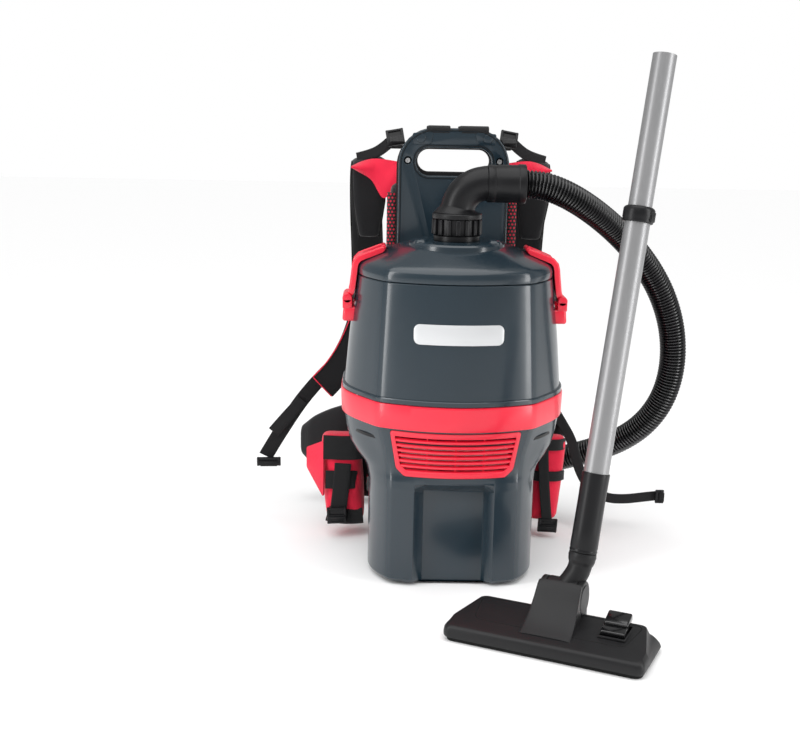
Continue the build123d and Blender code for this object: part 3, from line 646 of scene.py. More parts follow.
# ------------------------------------------------------------------ tubes and straps along a line
def smooth_line(points):
    """The NURBS line through a route, read back as points."""
    curve = D.curves.new("route", "CURVE")
    curve.dimensions = "3D"
    curve.resolution_u = 24
    spline = curve.splines.new("NURBS")
    spline.points.add(len(points) - 1)
    for knot, point in zip(spline.points, points):
        knot.co = (*point, 1)
    spline.order_u = 3
    spline.use_endpoint_u = True
    holder = linked("route", curve)
    mesh = D.meshes.new_from_object(holder)
    line = [v.co.copy() for v in mesh.vertices]
    D.objects.remove(holder)
    D.meshes.remove(mesh)
    return line


def at_lengths(line, step=None, count=None):
    """Points and directions spaced evenly along a line, with their distance from its start."""
    reach = [0.0]
    for a, b in zip(line, line[1:]):
        reach.append(reach[-1] + (b - a).length)
    total = reach[-1]
    count = count or max(2, round(total / step) + 1)
    found, k = [], 0
    for i in range(count):
        s = total * i / (count - 1)
        while k < len(reach) - 2 and reach[k + 1] < s:
            k += 1
        t = (s - reach[k]) / max(1e-9, reach[k + 1] - reach[k])
        found.append((line[k].lerp(line[k + 1], t), s))
    places = [p for p, _ in found]
    ends = [places[0]] + places + [places[-1]]
    ways = [(ends[i + 2] - ends[i]).normalized() for i in range(count)]
    return [(p, way, s) for (p, s), way in zip(found, ways)], total


def swept(name, stations, section, first_normal, closed_ends=True):
    """Rings of section(distance) points carried along the stations without twisting."""
    normal = Vector(first_normal)
    rings = []
    for place, way, s in stations:
        normal = (normal - way * normal.dot(way)).normalized()
        across = way.cross(normal)
        rings.append([place + across * u + normal * v for u, v in section(s)])
    return lofted(name, rings, closed_ends, closed_ends)


def circle(radius, sides=40):
    return [(radius * math.cos(2 * math.pi * i / sides), radius * math.sin(2 * math.pi * i / sides))
            for i in range(sides)]


def strap_section(width, thick, pad=0.0):
    """A flat strap's section with rounded edges, its faces crowned by pad."""
    half, r = width / 2, thick / 2
    top = [(half - r + r * math.sin(a), r * math.cos(a)) for a in (math.pi / 2, math.pi / 4, 0.0)]
    across = [(half - r) * k for k in (0.85, 0.55, 0.2, -0.2, -0.55, -0.85)]
    upper = top + [(u, r + pad * (1 - (u / half) ** 2)) for u in across]
    return upper + [(-u, -v) for u, v in upper]


def strap(name, route, width, thick, normal, step=0.006, pad=0.0, smooth=True):
    """Webbing along a route, with its own length and width in metres as UV."""
    line = smooth_line(route) if smooth else [Vector(p) for p in route]
    stations, total = at_lengths(line, step)
    section = strap_section(width, thick, pad)
    piece = swept(name, stations, lambda s: section, normal)
    layer = piece.data.uv_layers.new(name="UVMap")
    places = [p for p, _, _ in stations]
    lengths = {}
    axis = Vector(normal)
    for vertex in piece.data.vertices:
        nearest = min(range(len(places)), key=lambda i: (places[i] - vertex.co).length_squared)
        place, way, s = stations[nearest]
        along = s + (vertex.co - place).dot(way)
        flat = (axis - way * axis.dot(way)).normalized()
        lengths[vertex.index] = (along, (vertex.co - place).dot(way.cross(flat)))
    for loop in piece.data.loops:
        layer.data[loop.index].uv = lengths[loop.vertex_index]
    return piece


# ------------------------------------------------------------------ hose
hose_line = smooth_line([
    (0.093, -0.005, 0.548), (0.115, -0.005, 0.548), (0.154, 0.004, 0.534), (0.198, 0.026, 0.508),
    (0.244, 0.054, 0.472), (0.285, 0.074, 0.429), (0.316, 0.086, 0.381), (0.335, 0.094, 0.327),
    (0.340, 0.101, 0.271), (0.331, 0.111, 0.219), (0.309, 0.127, 0.176), (0.277, 0.147, 0.144),
    (0.239, 0.170, 0.121), (0.196, 0.192, 0.102), (0.148, 0.220, 0.080), (0.100, 0.244, 0.058),
    (0.048, 0.262, 0.040), (-0.006, 0.271, 0.028), (-0.056, 0.271, 0.028)])
rib_pitch, rib_steps = 0.0047, 6
stations, hose_length = at_lengths(hose_line, rib_pitch / rib_steps)
rib_radius = (0.0160, 0.0164, 0.0184, 0.0193, 0.0195, 0.0184)
hose = swept("hose_ribbed", stations,
             lambda s: circle(rib_radius[round(s / rib_pitch * rib_steps) % rib_steps], 36), (0, 0, 1))
settled(hose, 60)
painted(hose, hose_black)
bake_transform(hose)
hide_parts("hose")

# cuff: stepped and ribbed, over the hose's first turns
cuff = turned("hose_start_cuff", [
    (0.0205, 0.0400), (0.0246, 0.0402), (0.0256, 0.0408), (0.0258, 0.0420), (0.0258, 0.0500),
    (0.0254, 0.0506),
    (0.0254, 0.0530), (0.0259, 0.0536), (0.0259, 0.0800), (0.0262, 0.0826), (0.0268, 0.0832),
    (0.0270, 0.0840),
    (0.0270, 0.0915), (0.0266, 0.0926), (0.0258, 0.0930), (0.0200, 0.0930), (0.0200, 0.0420)],
    (0, axis_y, 0.548), (1, 0, 0))
placed(cuff, "lid", "black_satin", black_satin, "hose_cuff")

# elbow: swells a little into the cuff, with a seam bead where it leaves the nut
bend = [Vector((0.040 - 0.040 * math.cos(t), axis_y, 0.508 + 0.040 * math.sin(t)))
        for t in (math.pi / 2 * k / 48 for k in range(49))]
stations, bend_length = at_lengths(bend, count=60)


def elbow_section(s):
    grow = 0.0090 * max(0.0, 1 - s / 0.0085) ** 1.6 + 0.0006 * math.exp(-((s - bend_length) / 0.004) ** 2)
    return circle(0.0236 + grow, 64)


elbow = swept("elbow_bend", stations, elbow_section, (0, 1, 0), closed_ends=False)
applied(elbow, "SOLIDIFY", thickness=0.0030, offset=-1)
placed(elbow, "lid", "black_satin", black_satin, "elbow", angle=50)

# collar nut: a smooth top ring over fourteen grip ribs
ring = turned("ring", [
    (0.0246, 0.4990), (0.0246, 0.5080), (0.0300, 0.5080), (0.0332, 0.5074), (0.0345, 0.5060),
    (0.0345, 0.5010),
    (0.0340, 0.5000), (0.0318, 0.4996), (0.0312, 0.4990), (0.0312, 0.4790), (0.0305, 0.4772),
    (0.0246, 0.4772),
    (0.0246, 0.4990)], (0, axis_y, 0))
ribs = []
for k in range(16):
    t = 2 * math.pi * k / 16
    ribs.append(block((0.0060, 0.0064, 0.0215), (0.0318 * math.cos(t), axis_y + 0.0318 * math.sin(t), 0.4885),
                      0.0016, 3, turn=(0, 0, t)))
nut = joined("collar_ribbed", [ring, *ribs])
placed(nut, "collar", "black_satin", black_satin, "collar_nut", angle=40)

# ------------------------------------------------------------------ latches and their brackets
latch_path = [  # out from the side, height, half width, on the canister and up over the lid
    (0.1466, 0.3900, 0.0205), (0.1454, 0.3950, 0.0235), (0.1440, 0.4020, 0.0248), (0.1427, 0.4120, 0.0250),
    (0.1416, 0.4210, 0.0250), (0.1406, 0.4310, 0.0250), (0.1388, 0.4380, 0.0250), (0.1340, 0.4432, 0.0248),
    (0.1270, 0.4462, 0.0246), (0.1190, 0.4492, 0.0242), (0.1110, 0.4524, 0.0236), (0.1040, 0.4552, 0.0226),
    (0.1000, 0.4568, 0.0212)]
latch_y, pin_x, pin_z, ear_reach = 0.008, 0.1505, 0.387, 0.0211
for side, name in ((-1, "latch_left"), (1, "latch_right")):
    mids = [Vector((x, 0, z)) for x, z, _ in latch_path]
    ends = [mids[0]] + mids + [mids[-1]]
    rings = []
    for i, (x, z, half) in enumerate(latch_path):
        way = (ends[i + 2] - ends[i]).normalized()
        out = Vector((way.z, 0, -way.x))
        thick = 0.0044 * (0.55 if i in (0, len(latch_path) - 1) else 1.0)
        ring = []
        for u, v in ((1.0, -0.9), (1.0, 0.3), (0.985, 0.62), (0.955, 0.88), (0.91, 1.0), (0.80, 1.0),
                     (0.77, 0.82),
                     (0.30, 0.80), (0, 0.80), (-0.30, 0.80), (-0.77, 0.82), (-0.80, 1.0), (-0.91, 1.0),
                     (-0.955, 0.88), (-0.985, 0.62), (-1.0, 0.3), (-1.0, -0.9), (-0.5, -0.9), (0, -0.9),
                     (0.5, -0.9)):
            p = mids[i] + out * (v * thick)
            ring.append((side * p.x, latch_y + u * half, p.z))
        rings.append(ring)
    body = lofted("body", rings, True, True)
    barrel = round_bar(0.0069, 0.030, (side * pin_x, latch_y, pin_z), (0, 1, 0), 0.001)
    lip_bar = round_bar(0.0034, 0.038, (side * 0.1008, latch_y, 0.4578), (0, 1, 0), 0.0012, 24)
    piece = joined(name + "_plate", [body, barrel, lip_bar])
    placed(piece, name, "red_gloss", red, name, angle=32)

brackets = []
for side in (-1, 1):
    foot_part = block((0.0190, 0.050, 0.0205), (side * 0.1480, latch_y, 0.3652), 0.0040, 4)
    for vertex in foot_part.data.vertices:
        lean = (vertex.co.z - 0.355) * -0.08
        vertex.co.x += side * lean
    canister_core = lofted("core", [body_ring(z, s[0] - 0.0006, s[1], *s[2:]) for z, s in
                                    body_levels(canister_shape, (0.30, 0.335, 0.36, 0.40))], True, True)
    cut(foot_part, canister_core)
    brackets.append(foot_part)
    for edge in (-1, 1):
        ear = round_bar(0.0069, 0.0078, (side * pin_x, latch_y + edge * ear_reach, pin_z), (0, 1, 0), 0.0012,
                        40)
        web = block((0.0135, 0.0078, 0.0130), (side * 0.1503, latch_y + edge * ear_reach, 0.3795), 0.0012, 2)
        brackets += [ear, web]
    brackets.append(round_bar(0.0028, 0.046, (side * pin_x, latch_y, pin_z), (0, 1, 0), 0.0006, 24))
hinges = joined("latch_brackets", brackets)
placed(hinges, "pack", "red_gloss", red, "latch_hinges", angle=32)

# ------------------------------------------------------------------ back frame with its handle
def frame_outline(half, top, bottom, corner):
    corners = [(-half, bottom), (half, bottom), (half, top), (-half, top)]
    return [(p.x, 0, p.y) for p in rounded_corners(corners, [0.012, 0.012, corner, corner], 10)]


def hand_hole(half, low, high, corner=0.016):
    corners = [(-half, low), (half, low), (half, high), (-half, high)]
    return [(p.x, -0.05, p.y) for p in rounded_corners(corners, corner, 8)]


screw_x, screw_z = 0.067, 0.573
plate = panel("plate", frame_outline(0.081, 0.620, 0.046, 0.052), 0.0128)
cut(plate, panel("hole", hand_hole(0.0550, 0.5515, 0.5915, 0.0190), 0.1))
for x in (-screw_x, screw_x):
    cut(plate, round_bar(0.0052, 0.012, (x, 0, screw_z), (0, 1, 0)))
applied(plate, "BEVEL", width=0.0042, segments=4, limit_method="ANGLE", angle_limit=0.9)
frame_parts = [set_back(plate, 0.1041)]
# raised face, leaving a step round the outside and round the opening
face = panel("face", frame_outline(0.0768, 0.6158, 0.0502, 0.048), 0.0034)
cut(face, panel("hole", hand_hole(0.0590, 0.5475, 0.5955, 0.0230), 0.1))
for x in (-screw_x, screw_x):
    cut(face, round_bar(0.0062, 0.020, (x, 0, screw_z), (0, 1, 0)))
applied(face, "BEVEL", width=0.0012, segments=3, limit_method="ANGLE", angle_limit=0.9)
frame_parts.append(set_back(face, 0.1013))
groove_lines = []
for outline in (frame_outline(0.0773, 0.6163, 0.0497, 0.0485), hand_hole(0.0585, 0.5480, 0.5950, 0.0225)):
    line = [Vector((x, 0.09765, z)) for x, _, z in outline]
    stations, _ = at_lengths(line + line[:1], 0.004)
    groove_lines.append(swept("groove", stations,
                              lambda s: [(0.0006, 0), (0, 0.0003), (-0.0006, 0), (0, -0.0006)], (0, 1, 0)))
for side in (-1, 1):
    shield = [(p.x, 0, p.y) for p in rounded_corners(
        [(side * 0.034, 0.5965), (side * 0.060, 0.5965), (side * 0.061, 0.6125),
         (side * 0.030, 0.6145)][::side],
        0.0030, 4)]
    frame_parts.append(set_back(panel("shield", shield, 0.0030, 0.0009, 2), 0.1002))
for x in (-0.0485, 0.0485):
    frame_parts.append(round_bar(0.0066, 0.0036, (x, 0.1002, 0.6052), (0, 1, 0), 0.0010, 36))
for z in (0.080, 0.150, 0.220, 0.290):
    frame_parts.append(block((0.118, 0.0042, 0.030), (0, 0.1020, z), 0.0014, 3))
back_frame = joined("back_frame_shell", frame_parts)
placed(back_frame, "pack", "slate_gloss", slate, "back_frame", angle=30)
placed(joined("frame_grooves", groove_lines), "pack", "rubber_black", rubber)

trim = panel("trim", frame_outline(0.083, 0.617, 0.046, 0.052), 0.0048)
cut(trim, panel("hole", hand_hole(0.0525, 0.557, 0.589), 0.1))
applied(trim, "BEVEL", width=0.0018, segments=3, limit_method="ANGLE", angle_limit=0.9)
set_back(trim, 0.1171)
placed(trim, "pack", "black_satin", black_satin, "rear_trim", angle=30)

screws = []
for x in (-screw_x, screw_x):
    head = turned("head", [(0.0002, 0.0004), (0.0016, 0.0004), (0.0019, 0.0022), (0.0034, 0.0022),
                           (0.0040, 0.0014),
                           (0.0040, 0.0), (0.0026, 0.0), (0.0026, -0.018)], (x, 0.1068, screw_z), (0, -1, 0),
                           30)
    screws.append(head)
screws = joined("frame_screw_heads", screws)
placed(screws, "pack", "steel", steel, "frame_screws", angle=40)

wraps = []
for low, high in ((-0.040, -0.006), (0.006, 0.050)):
    route = [(0, 0.1025, 0.6108), (0, 0.1019, 0.6200), (0, 0.1060, 0.6222), (0, 0.1130, 0.6224),
             (0, 0.1195, 0.6222), (0, 0.1238, 0.6200), (0, 0.1236, 0.6050), (0, 0.1236, 0.5945)]
    wrap = strap("wrap", [((low + high) / 2, y, z) for _, y, z in route], high - low, 0.0022, (0, -1, 0),
                 0.003)
    wraps.append(wrap)
wraps = joined("frame_wrap_webbing", wraps)
placed(wraps, "pack", "webbing_black", webbing_black, "frame_wraps", angle=40)

# ------------------------------------------------------------------ harness
def crowned(piece, cap, pressure=4.0, voxel=0.005):
    """Blows a block up into a padded shape, no point moving further than the cap."""
    applied(piece, "REMESH", mode="VOXEL", voxel_size=voxel)
    rest = [v.co.copy() for v in piece.data.vertices]
    cloth = piece.modifiers.new("Cloth", "CLOTH")
    cloth.settings.use_pressure = True
    cloth.settings.uniform_pressure_force = pressure
    cloth.settings.effector_weights.gravity = 0
    cloth.settings.quality = 5
    cloth.point_cache.frame_start, cloth.point_cache.frame_end = 1, 20
    for number in range(1, 21):
        bpy.context.scene.frame_set(number)
    active(piece)
    bpy.ops.object.modifier_apply(modifier=cloth.name)
    bpy.context.scene.frame_set(1)
    for vertex, home in zip(piece.data.vertices, rest):
        move = vertex.co - home
        if move.length > cap:
            vertex.co = home + move.normalized() * cap
    applied(piece, "SUBSURF", levels=1)
    return piece


def pad_slab(outline, y0, y1, bevel=0.006):
    """A padded slab from a flat outline in XZ, between two depths."""
    return set_back(panel("pad", [(x, 0, z) for x, z in outline], y1 - y0, bevel, 3), y0)


def mesh_cloth(name, colour, under, pitch=0.0045):
    """Open spacer mesh: round holes that show the cloth underneath."""
    finish = Finish(name, colour, 0.8, sheen_weight=0.3)
    x, y, z = finish.place()
    row = z / pitch
    a = ((x / pitch + (row.floor() * 0.5)).fract() - 0.5)
    b = (row.fract() - 0.5)
    hole = ((a * a + b * b) ** 0.5).below(0.30)
    finish.set("Base Color", finish.mix(hole, colour, under))
    finish.bump((a * a + b * b) ** 0.5, 0.8, 0.001)
    return finish.material


mesh_black = mesh_cloth("fabric_black_mesh", (0.012, 0.012, 0.014), (0.003, 0.003, 0.003))
mesh_red = mesh_cloth("fabric_red_mesh", (0.010, 0.010, 0.011), (0.62, 0.010, 0.040), 0.0052)

# back pad: a ribbed core with red mesh showing down both edges
pad_outline = [(p.x, p.y) for p in rounded_corners(
    [(-0.094, 0.070), (0.094, 0.070), (0.094, 0.543), (-0.094, 0.543)], [0.03, 0.03, 0.014, 0.014])]
pad = pad_slab(pad_outline, 0.1250, 0.1440)
crowned(pad, 0.003, 3.0, 0.006)
grooves = (0.125, 0.185, 0.245, 0.305, 0.365, 0.425, 0.485)
for vertex in pad.data.vertices:
    c = vertex.co
    if c.y > 0.138 and abs(c.x) < 0.088:
        c.y -= 0.0035 * sum(math.exp(-((c.z - g) / 0.004) ** 2) for g in grooves)
        c.y -= 0.0035 * math.exp(-((abs(c.x) - 0.030) / 0.004) ** 2)
    c.y = min(max(c.y, 0.1228), 0.1490)
placed(pad, "pack", "fabric_black", mesh_black, "back_pad", angle=60)
edges = []
for side in (-1, 1):
    edge = strap("edge", [(side * 0.0895, 0.1232, z) for z in (0.090, 0.2, 0.3, 0.4, 0.525)],
                 0.0135, 0.0026, (0, -1, 0), 0.01, 0.0010)
    edges.append(edge)
pad_edges = joined("back_pad_edges", edges)
placed(pad_edges, "pack", "fabric_red", mesh_red, angle=60)

# shoulder straps: padded, curving over the shoulder and down, with red yokes at the top
shoulder_route = [
    (0.1225, 0.1560, 0.455), (0.1230, 0.1560, 0.500), (0.1240, 0.1570, 0.535), (0.1245, 0.1620, 0.566),
    (0.1260, 0.1880, 0.571), (0.1285, 0.2130, 0.547), (0.1280, 0.2250, 0.490), (0.1250, 0.2270, 0.430),
    (0.1235, 0.2230, 0.370), (0.1240, 0.2080, 0.320), (0.1245, 0.1870, 0.288)]
for side, name in ((-1, "shoulder_strap_left"), (1, "shoulder_strap_right")):
    line = smooth_line([(side * x, y, z) for x, y, z in shoulder_route])
    stations, total = at_lengths(line, 0.006)

    def pad_section(s, total=total):
        """A cushioned strap, drawn in at its ends and pinched in at its piped edge."""
        taper = 0.62 + 0.38 * min(1.0, s / 0.055, (total - s) / 0.075)
        half, points = 0.0238 * taper, []
        for k in range(28):
            t = 2 * math.pi * k / 28
            c, n = math.cos(t), math.sin(t)
            u = half * math.copysign(abs(c) ** 0.55, c)
            v = 0.0064 * math.copysign(abs(n) ** 0.8, n) * (1 - 0.25 * (abs(u) / half) ** 4)
            points.append((u, v))
        return points

    body = swept(name + "_pad", stations, pad_section, (0, -1, 0))
    for vertex in body.data.vertices:
        wave = math.sin(vertex.co.z * 95 + vertex.co.y * 60) * math.sin(vertex.co.x * 80 + 1)
        vertex.co.y += 0.0006 * wave
    applied(body, "SUBSURF", levels=1)
    placed(body, "pack", "fabric_black", fabric_black, name, angle=70)
    piping = []
    for edge in (-1, 1):
        rings_at = []
        normal = Vector((0, -1, 0))
        for place, way, s in stations:
            normal = (normal - way * normal.dot(way)).normalized()
            taper = 0.62 + 0.38 * min(1.0, s / 0.055, (total - s) / 0.075)
            rings_at.append(place + way.cross(normal) * (edge * 0.0240 * taper))
        spots, _ = at_lengths(rings_at, 0.006)
        piping.append(swept("piping", spots, lambda s: circle(0.0014, 10), (0, -1, 0)))
    piping = joined(name + "_piping", piping)
    placed(piping, "pack", "webbing_black", rubber, angle=60)

# red yokes from the pad's top corners out over the straps
yokes = []
for side in (-1, 1):
    rows = []
    for k in range(13):  # from the pad out to the strap's outer edge
        t = k / 12
        x = 0.078 + (0.1500 - 0.078) * t
        top = 0.5690 + 0.0040 * math.sin(math.pi * t) - 0.010 * t ** 3
        low = 0.5330 - 0.0240 * math.exp(-((t - 0.32) / 0.16) ** 2) + 0.0270 * t ** 1.6
        y = 0.1300 + 0.0170 * min(1.0, t / 0.5)
        rows.append([(side * x, y + 0.0125 * max(0.0, 2 * abs(m / 8 - 0.42)) ** 2 * t
                      + 0.0014 * math.sin(9 * t + m) * (1 - t), low + (top - low) * m / 8) for m in range(9)])
    yoke = lofted("yoke", rows, closed=False)
    applied(yoke, "SUBSURF", levels=1)
    applied(yoke, "SOLIDIFY", thickness=0.0030, offset=0)
    yokes.append(yoke)
yokes = joined("shoulder_yokes", yokes)
placed(yokes, "pack", "fabric_red", fabric_red, angle=70)


# waist belts: thick pads that curve round, red outside panels with webbing over them
def belt(side, name, tip, low, high):
    route = [(side * 0.100, 0.1445, 0), (side * 0.125, 0.1465, 0), (side * 0.150, 0.1500, 0),
             (side * (0.150 + (tip[0] - 0.150) * 0.5), 0.150 + (tip[1] - 0.150) * 0.48, 0),
             (side * tip[0], tip[1], 0)]
    line = smooth_line(route)
    stations, total = at_lengths(line, 0.005)
    rings = []
    for place, way, s in stations:
        t = s / total
        end = min(1.0, (1 - t) / 0.22 + 0.25)
        top = high(t)
        bottom = low(t)
        mid, half = (top + bottom) / 2, (top - bottom) / 2 * (0.80 + 0.20 * min(1.0, end))
        thick = 0.0098 * (0.55 + 0.45 * min(1.0, (1 - t) / 0.15, t / 0.05 + 0.6))
        out = Vector((way.y, -way.x, 0)) * side
        ring = []
        for k in range(36):
            a = 2 * math.pi * k / 36
            c, n = math.cos(a), math.sin(a)
            v = half * math.copysign(abs(n) ** 0.5, n)
            u = thick * math.copysign(abs(c) ** 0.7, c)
            quilt = (1 - 0.16 * math.exp(-((v / half - 0.30) / 0.05) ** 2)
                     - 0.16 * math.exp(-((v / half + 0.36) / 0.05) ** 2))
            ring.append(place + out * (u * quilt) + Vector((0, 0, mid + v)))
        rings.append(ring)
    piece = lofted(name + "_pad", rings, True, True)
    applied(piece, "SUBSURF", levels=1)
    placed(piece, "pack", "fabric_black", fabric_black, name, angle=70)
    return piece


belt(-1, "waist_belt_left", (0.226, 0.188), lambda t: 0.047 + 0.088 * max(0.0, t - 0.25) ** 1.2 * 0.9,
     lambda t: 0.203 - 0.050 * t ** 2)
belt(1, "waist_belt_right", (0.188, 0.157), lambda t: 0.047 + 0.030 * t, lambda t: 0.203 - 0.020 * t ** 2)

def leaned(piece, low, high, lean, ripple=0.0):
    """Leans a soft bag with its height and keeps it within 2 mm of its box."""
    centre, size = (low + high) / 2, high - low
    for vertex in piece.data.vertices:
        c = vertex.co
        c.x += lean * (c.z - centre.z) / size.z
        if ripple:
            c.y += ripple * math.sin(c.z * 130) * math.sin(c.x * 90)
        for k in range(3):
            c[k] = min(max(c[k], low[k] - 0.002), high[k] + 0.002)


# pouch on the left belt: a soft bag with a flap, red face, black binding and a webbing ladder
low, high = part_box("hip_pouch_left")
centre, size = (low + high) / 2, high - low
pouch = block(size * 0.93, centre, 0.009, 3)
crowned(pouch, 0.003, 4.0, 0.005)
leaned(pouch, low, high, -0.010, 0.0012)
pouch.name = "hip_pouch_bag"
placed(pouch, "pack", "fabric_red", fabric_red, "hip_pouch_left", angle=70)

low_r, high_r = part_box("hip_panel_right")
centre_r, size_r = (low_r + high_r) / 2, high_r - low_r
panel_right = block(size_r * 0.93, centre_r, 0.009, 3)
crowned(panel_right, 0.003, 4.0, 0.005)
leaned(panel_right, low_r, high_r, 0.012)
panel_right.name = "hip_panel_bag"
placed(panel_right, "pack", "fabric_red", fabric_red, "hip_panel_right", angle=70)

bands = []
y = low.y - 0.0025
for z, w, x0, x1 in ((0.1425, 0.038, -0.1870, -0.1245), (0.0915, 0.029, -0.1835, -0.1330)):
    bands.append(strap("band", [(x0, y + 0.001, z), (x0 + 0.010, y, z), ((x0 + x1) / 2, y, z - 0.001),
                                (x1 - 0.007, y + 0.001, z), (x1, y + 0.010, z)], w, 0.0018, (0, -1, 0),
                                0.004))
bands.append(strap("band", [(-0.1570, y - 0.0012, 0.118), (-0.1585, y - 0.0018, 0.092),
                            (-0.1610, y - 0.0018, 0.066),
                            (-0.1640, y - 0.0016, 0.040)], 0.025, 0.0016, (0, -1, 0), 0.005))
bands.append(strap("band", [(-0.180, y + 0.006, 0.036), (-0.158, y + 0.001, 0.030),
                            (-0.126, y + 0.006, 0.033)],
                   0.025, 0.0070, (0, -1, 0), 0.004))
# the pouch's side gusset, pulled back to the belt
rows = []
for k in range(9):
    t = k / 8
    top, bottom = 0.152 - 0.018 * t, 0.062 + 0.040 * t
    rows.append([(-0.186 - 0.027 * t, y + 0.004 + 0.028 * t - 0.003 * math.sin(math.pi * m / 8),
                  bottom + (top - bottom) * m / 8) for m in range(9)])
gusset = lofted("gusset", rows, closed=False)
applied(gusset, "SUBSURF", levels=1)
applied(gusset, "SOLIDIFY", thickness=0.0024, offset=0)
placed(gusset, "pack", "fabric_red", fabric_red, angle=70)
y = low_r.y - 0.0025
for z, w in ((0.148, 0.018), (0.098, 0.016)):
    bands.append(strap("band", [(0.1325, y + 0.008, z), (0.140, y + 0.001, z), (0.158, y, z),
                                (0.176, y + 0.001, z), (0.1835, y + 0.012, z)], w, 0.0018, (0, -1, 0), 0.004))
bands.append(strap("band", [(0.148, y - 0.0014, 0.158), (0.150, y - 0.0018, 0.110),
                            (0.156, y - 0.0018, 0.050),
                            (0.159, y - 0.0010, 0.026)], 0.016, 0.0016, (0, -1, 0), 0.005))
bands = joined("hip_webbing", bands)
placed(bands, "pack", "webbing_black", webbing_black, angle=40)

# load lifters over the top, with their buckles
lifters = []
for side in (-1, 1):
    lifters.append(strap("lifter", [(side * 0.083, 0.1240, 0.5985), (side * 0.083, 0.1360, 0.6045),
                                    (side * 0.083, 0.1600, 0.6045), (side * 0.083, 0.1840, 0.5980),
                                    (side * 0.083, 0.1945, 0.5870)], 0.0205, 0.0020, (0, 0, 1), 0.004))
    lifters.append(strap("lifter", [(side * 0.0885, 0.1620, 0.6010), (side * 0.1000, 0.1625, 0.5900),
                                    (side * 0.1180, 0.1640, 0.5780), (side * 0.1420, 0.1680, 0.5720)],
                         0.0170, 0.0020, (0, -1, 0.4), 0.004))
lifters = joined("lifter_straps", lifters)
placed(lifters, "pack", "webbing_black", webbing_black, "lifter_webbing", angle=40)


def ladder_buckle(width, length, thick, bar=0.0042):
    """A ladder-lock buckle lying flat in XY: a frame with two slots, a middle bar and a raised lever."""
    parts = []
    for s in (-1, 1):
        parts.append(block((bar, length, thick), (s * (width - bar) / 2, 0, 0), 0.0012, 2))
    for place, lift in ((-0.5, 0.0), (-0.02, 0.0006), (0.5, 0.0)):
        parts.append(block((width, bar * 0.95, thick * 0.9),
                           (0, place * (length - bar), lift), 0.0012, 2))
    parts.append(block((width - bar * 1.6, length * 0.86, thick * 0.34), (0, 0, -thick * 0.10), 0.0006, 1))
    lever = block((width * 0.96, length * 0.42, thick * 0.55), (0, -length * 0.24, thick * 0.55), 0.0012, 2,
                  turn=(0.16, 0, 0))
    parts.append(lever)
    for s in (-1, 0, 1):
        parts.append(block((width * 0.7, 0.0010, 0.0010), (0, -length * 0.26 + s * 0.0028, thick * 0.88),
                           0.0003, 1))
    return joined("buckle", parts)


def laid(piece, at, across, normal):
    """Lays a flat piece: its x along `across`, its z along `normal`."""
    x = Vector(across).normalized()
    z = Vector(normal)
    z = (z - x * z.dot(x)).normalized()
    frame_axes = Matrix((x, z.cross(x), z)).transposed()
    piece.matrix_world = Matrix.LocRotScale(Vector(at), frame_axes, None)
    return fixed(piece)


buckles = []
for side in (-1, 1):
    buckles.append(laid(ladder_buckle(0.0265, 0.027, 0.0050), (side * 0.0850, 0.160, 0.6040),
                        (1, 0, -side * 0.18), (0, -0.85, 0.55)))
buckles = joined("lifter_ladder_buckles", buckles)
placed(buckles, "pack", "black_satin", black_satin, "lifter_buckles", angle=40)

# lower straps: webbing from the shoulder pads through tri-glides to loose tails
left = [(-0.1250, 0.1960, 0.302), (-0.132, 0.2110, 0.283), (-0.158, 0.2145, 0.262), (-0.192, 0.2145, 0.228),
        (-0.216, 0.2140, 0.200),
        (-0.234, 0.2135, 0.176), (-0.258, 0.2130, 0.138), (-0.276, 0.2130, 0.108), (-0.285, 0.2125, 0.092)]
webbing_left = strap("strap_left", left, 0.0240, 0.0020, (0, -1, 0), 0.005)
tail = strap("tail", [(-0.226, 0.2110, 0.186), (-0.244, 0.2085, 0.166), (-0.258, 0.2080, 0.150),
                      (-0.272, 0.2090, 0.133)], 0.0200, 0.0018, (0, -1, 0), 0.005)
lower_pad = strap("lower_pad", [(-0.128, 0.2095, 0.332), (-0.138, 0.2095, 0.295), (-0.155, 0.2095, 0.258),
                                (-0.177, 0.2095, 0.226), (-0.194, 0.2095, 0.208)], 0.0450, 0.0064, (0, -1, 0),
                                0.006)
piping = [smooth_line([(-0.149, 0.2052, 0.325), (-0.1585, 0.2052, 0.300), (-0.1735, 0.2052, 0.269),
                       (-0.1935, 0.2052, 0.241), (-0.2090, 0.2052, 0.2255)]),
          smooth_line([(-0.2080, 0.2052, 0.2245), (-0.1925, 0.2052, 0.2075), (-0.1790, 0.2052, 0.1940)])]
piping = [swept("piping", at_lengths(line, 0.004)[0], lambda s: circle(0.0009, 8),
                (0, 1, 0)) for line in piping]
placed(joined("strap_piping_lower", piping), "pack", "fabric_red", fabric_red, angle=60)
webbing_left = joined("strap_webbing_left_woven", [webbing_left, tail])
placed(lower_pad, "pack", "fabric_black", fabric_black, angle=60)
placed(webbing_left, "pack", "webbing_black", webbing_black, "strap_webbing_left", angle=40)
right_route = [(0.1250, 0.1880, 0.298), (0.1330, 0.1840, 0.262), (0.1570, 0.1650, 0.212),
               (0.1800, 0.1410, 0.176),
               (0.196, 0.1275, 0.150), (0.203, 0.1272, 0.125), (0.213, 0.1272, 0.094), (0.231, 0.1272, 0.068),
               (0.256, 0.1272, 0.0545), (0.286, 0.1272, 0.0535), (0.314, 0.1272, 0.0575),
               (0.336, 0.1272, 0.0600)]
webbing_right = strap("strap_webbing_right_woven", right_route, 0.0155, 0.0020, (0, -1, 0), 0.005)
placed(webbing_right, "pack", "webbing_black", webbing_black, "strap_webbing_right", angle=40)

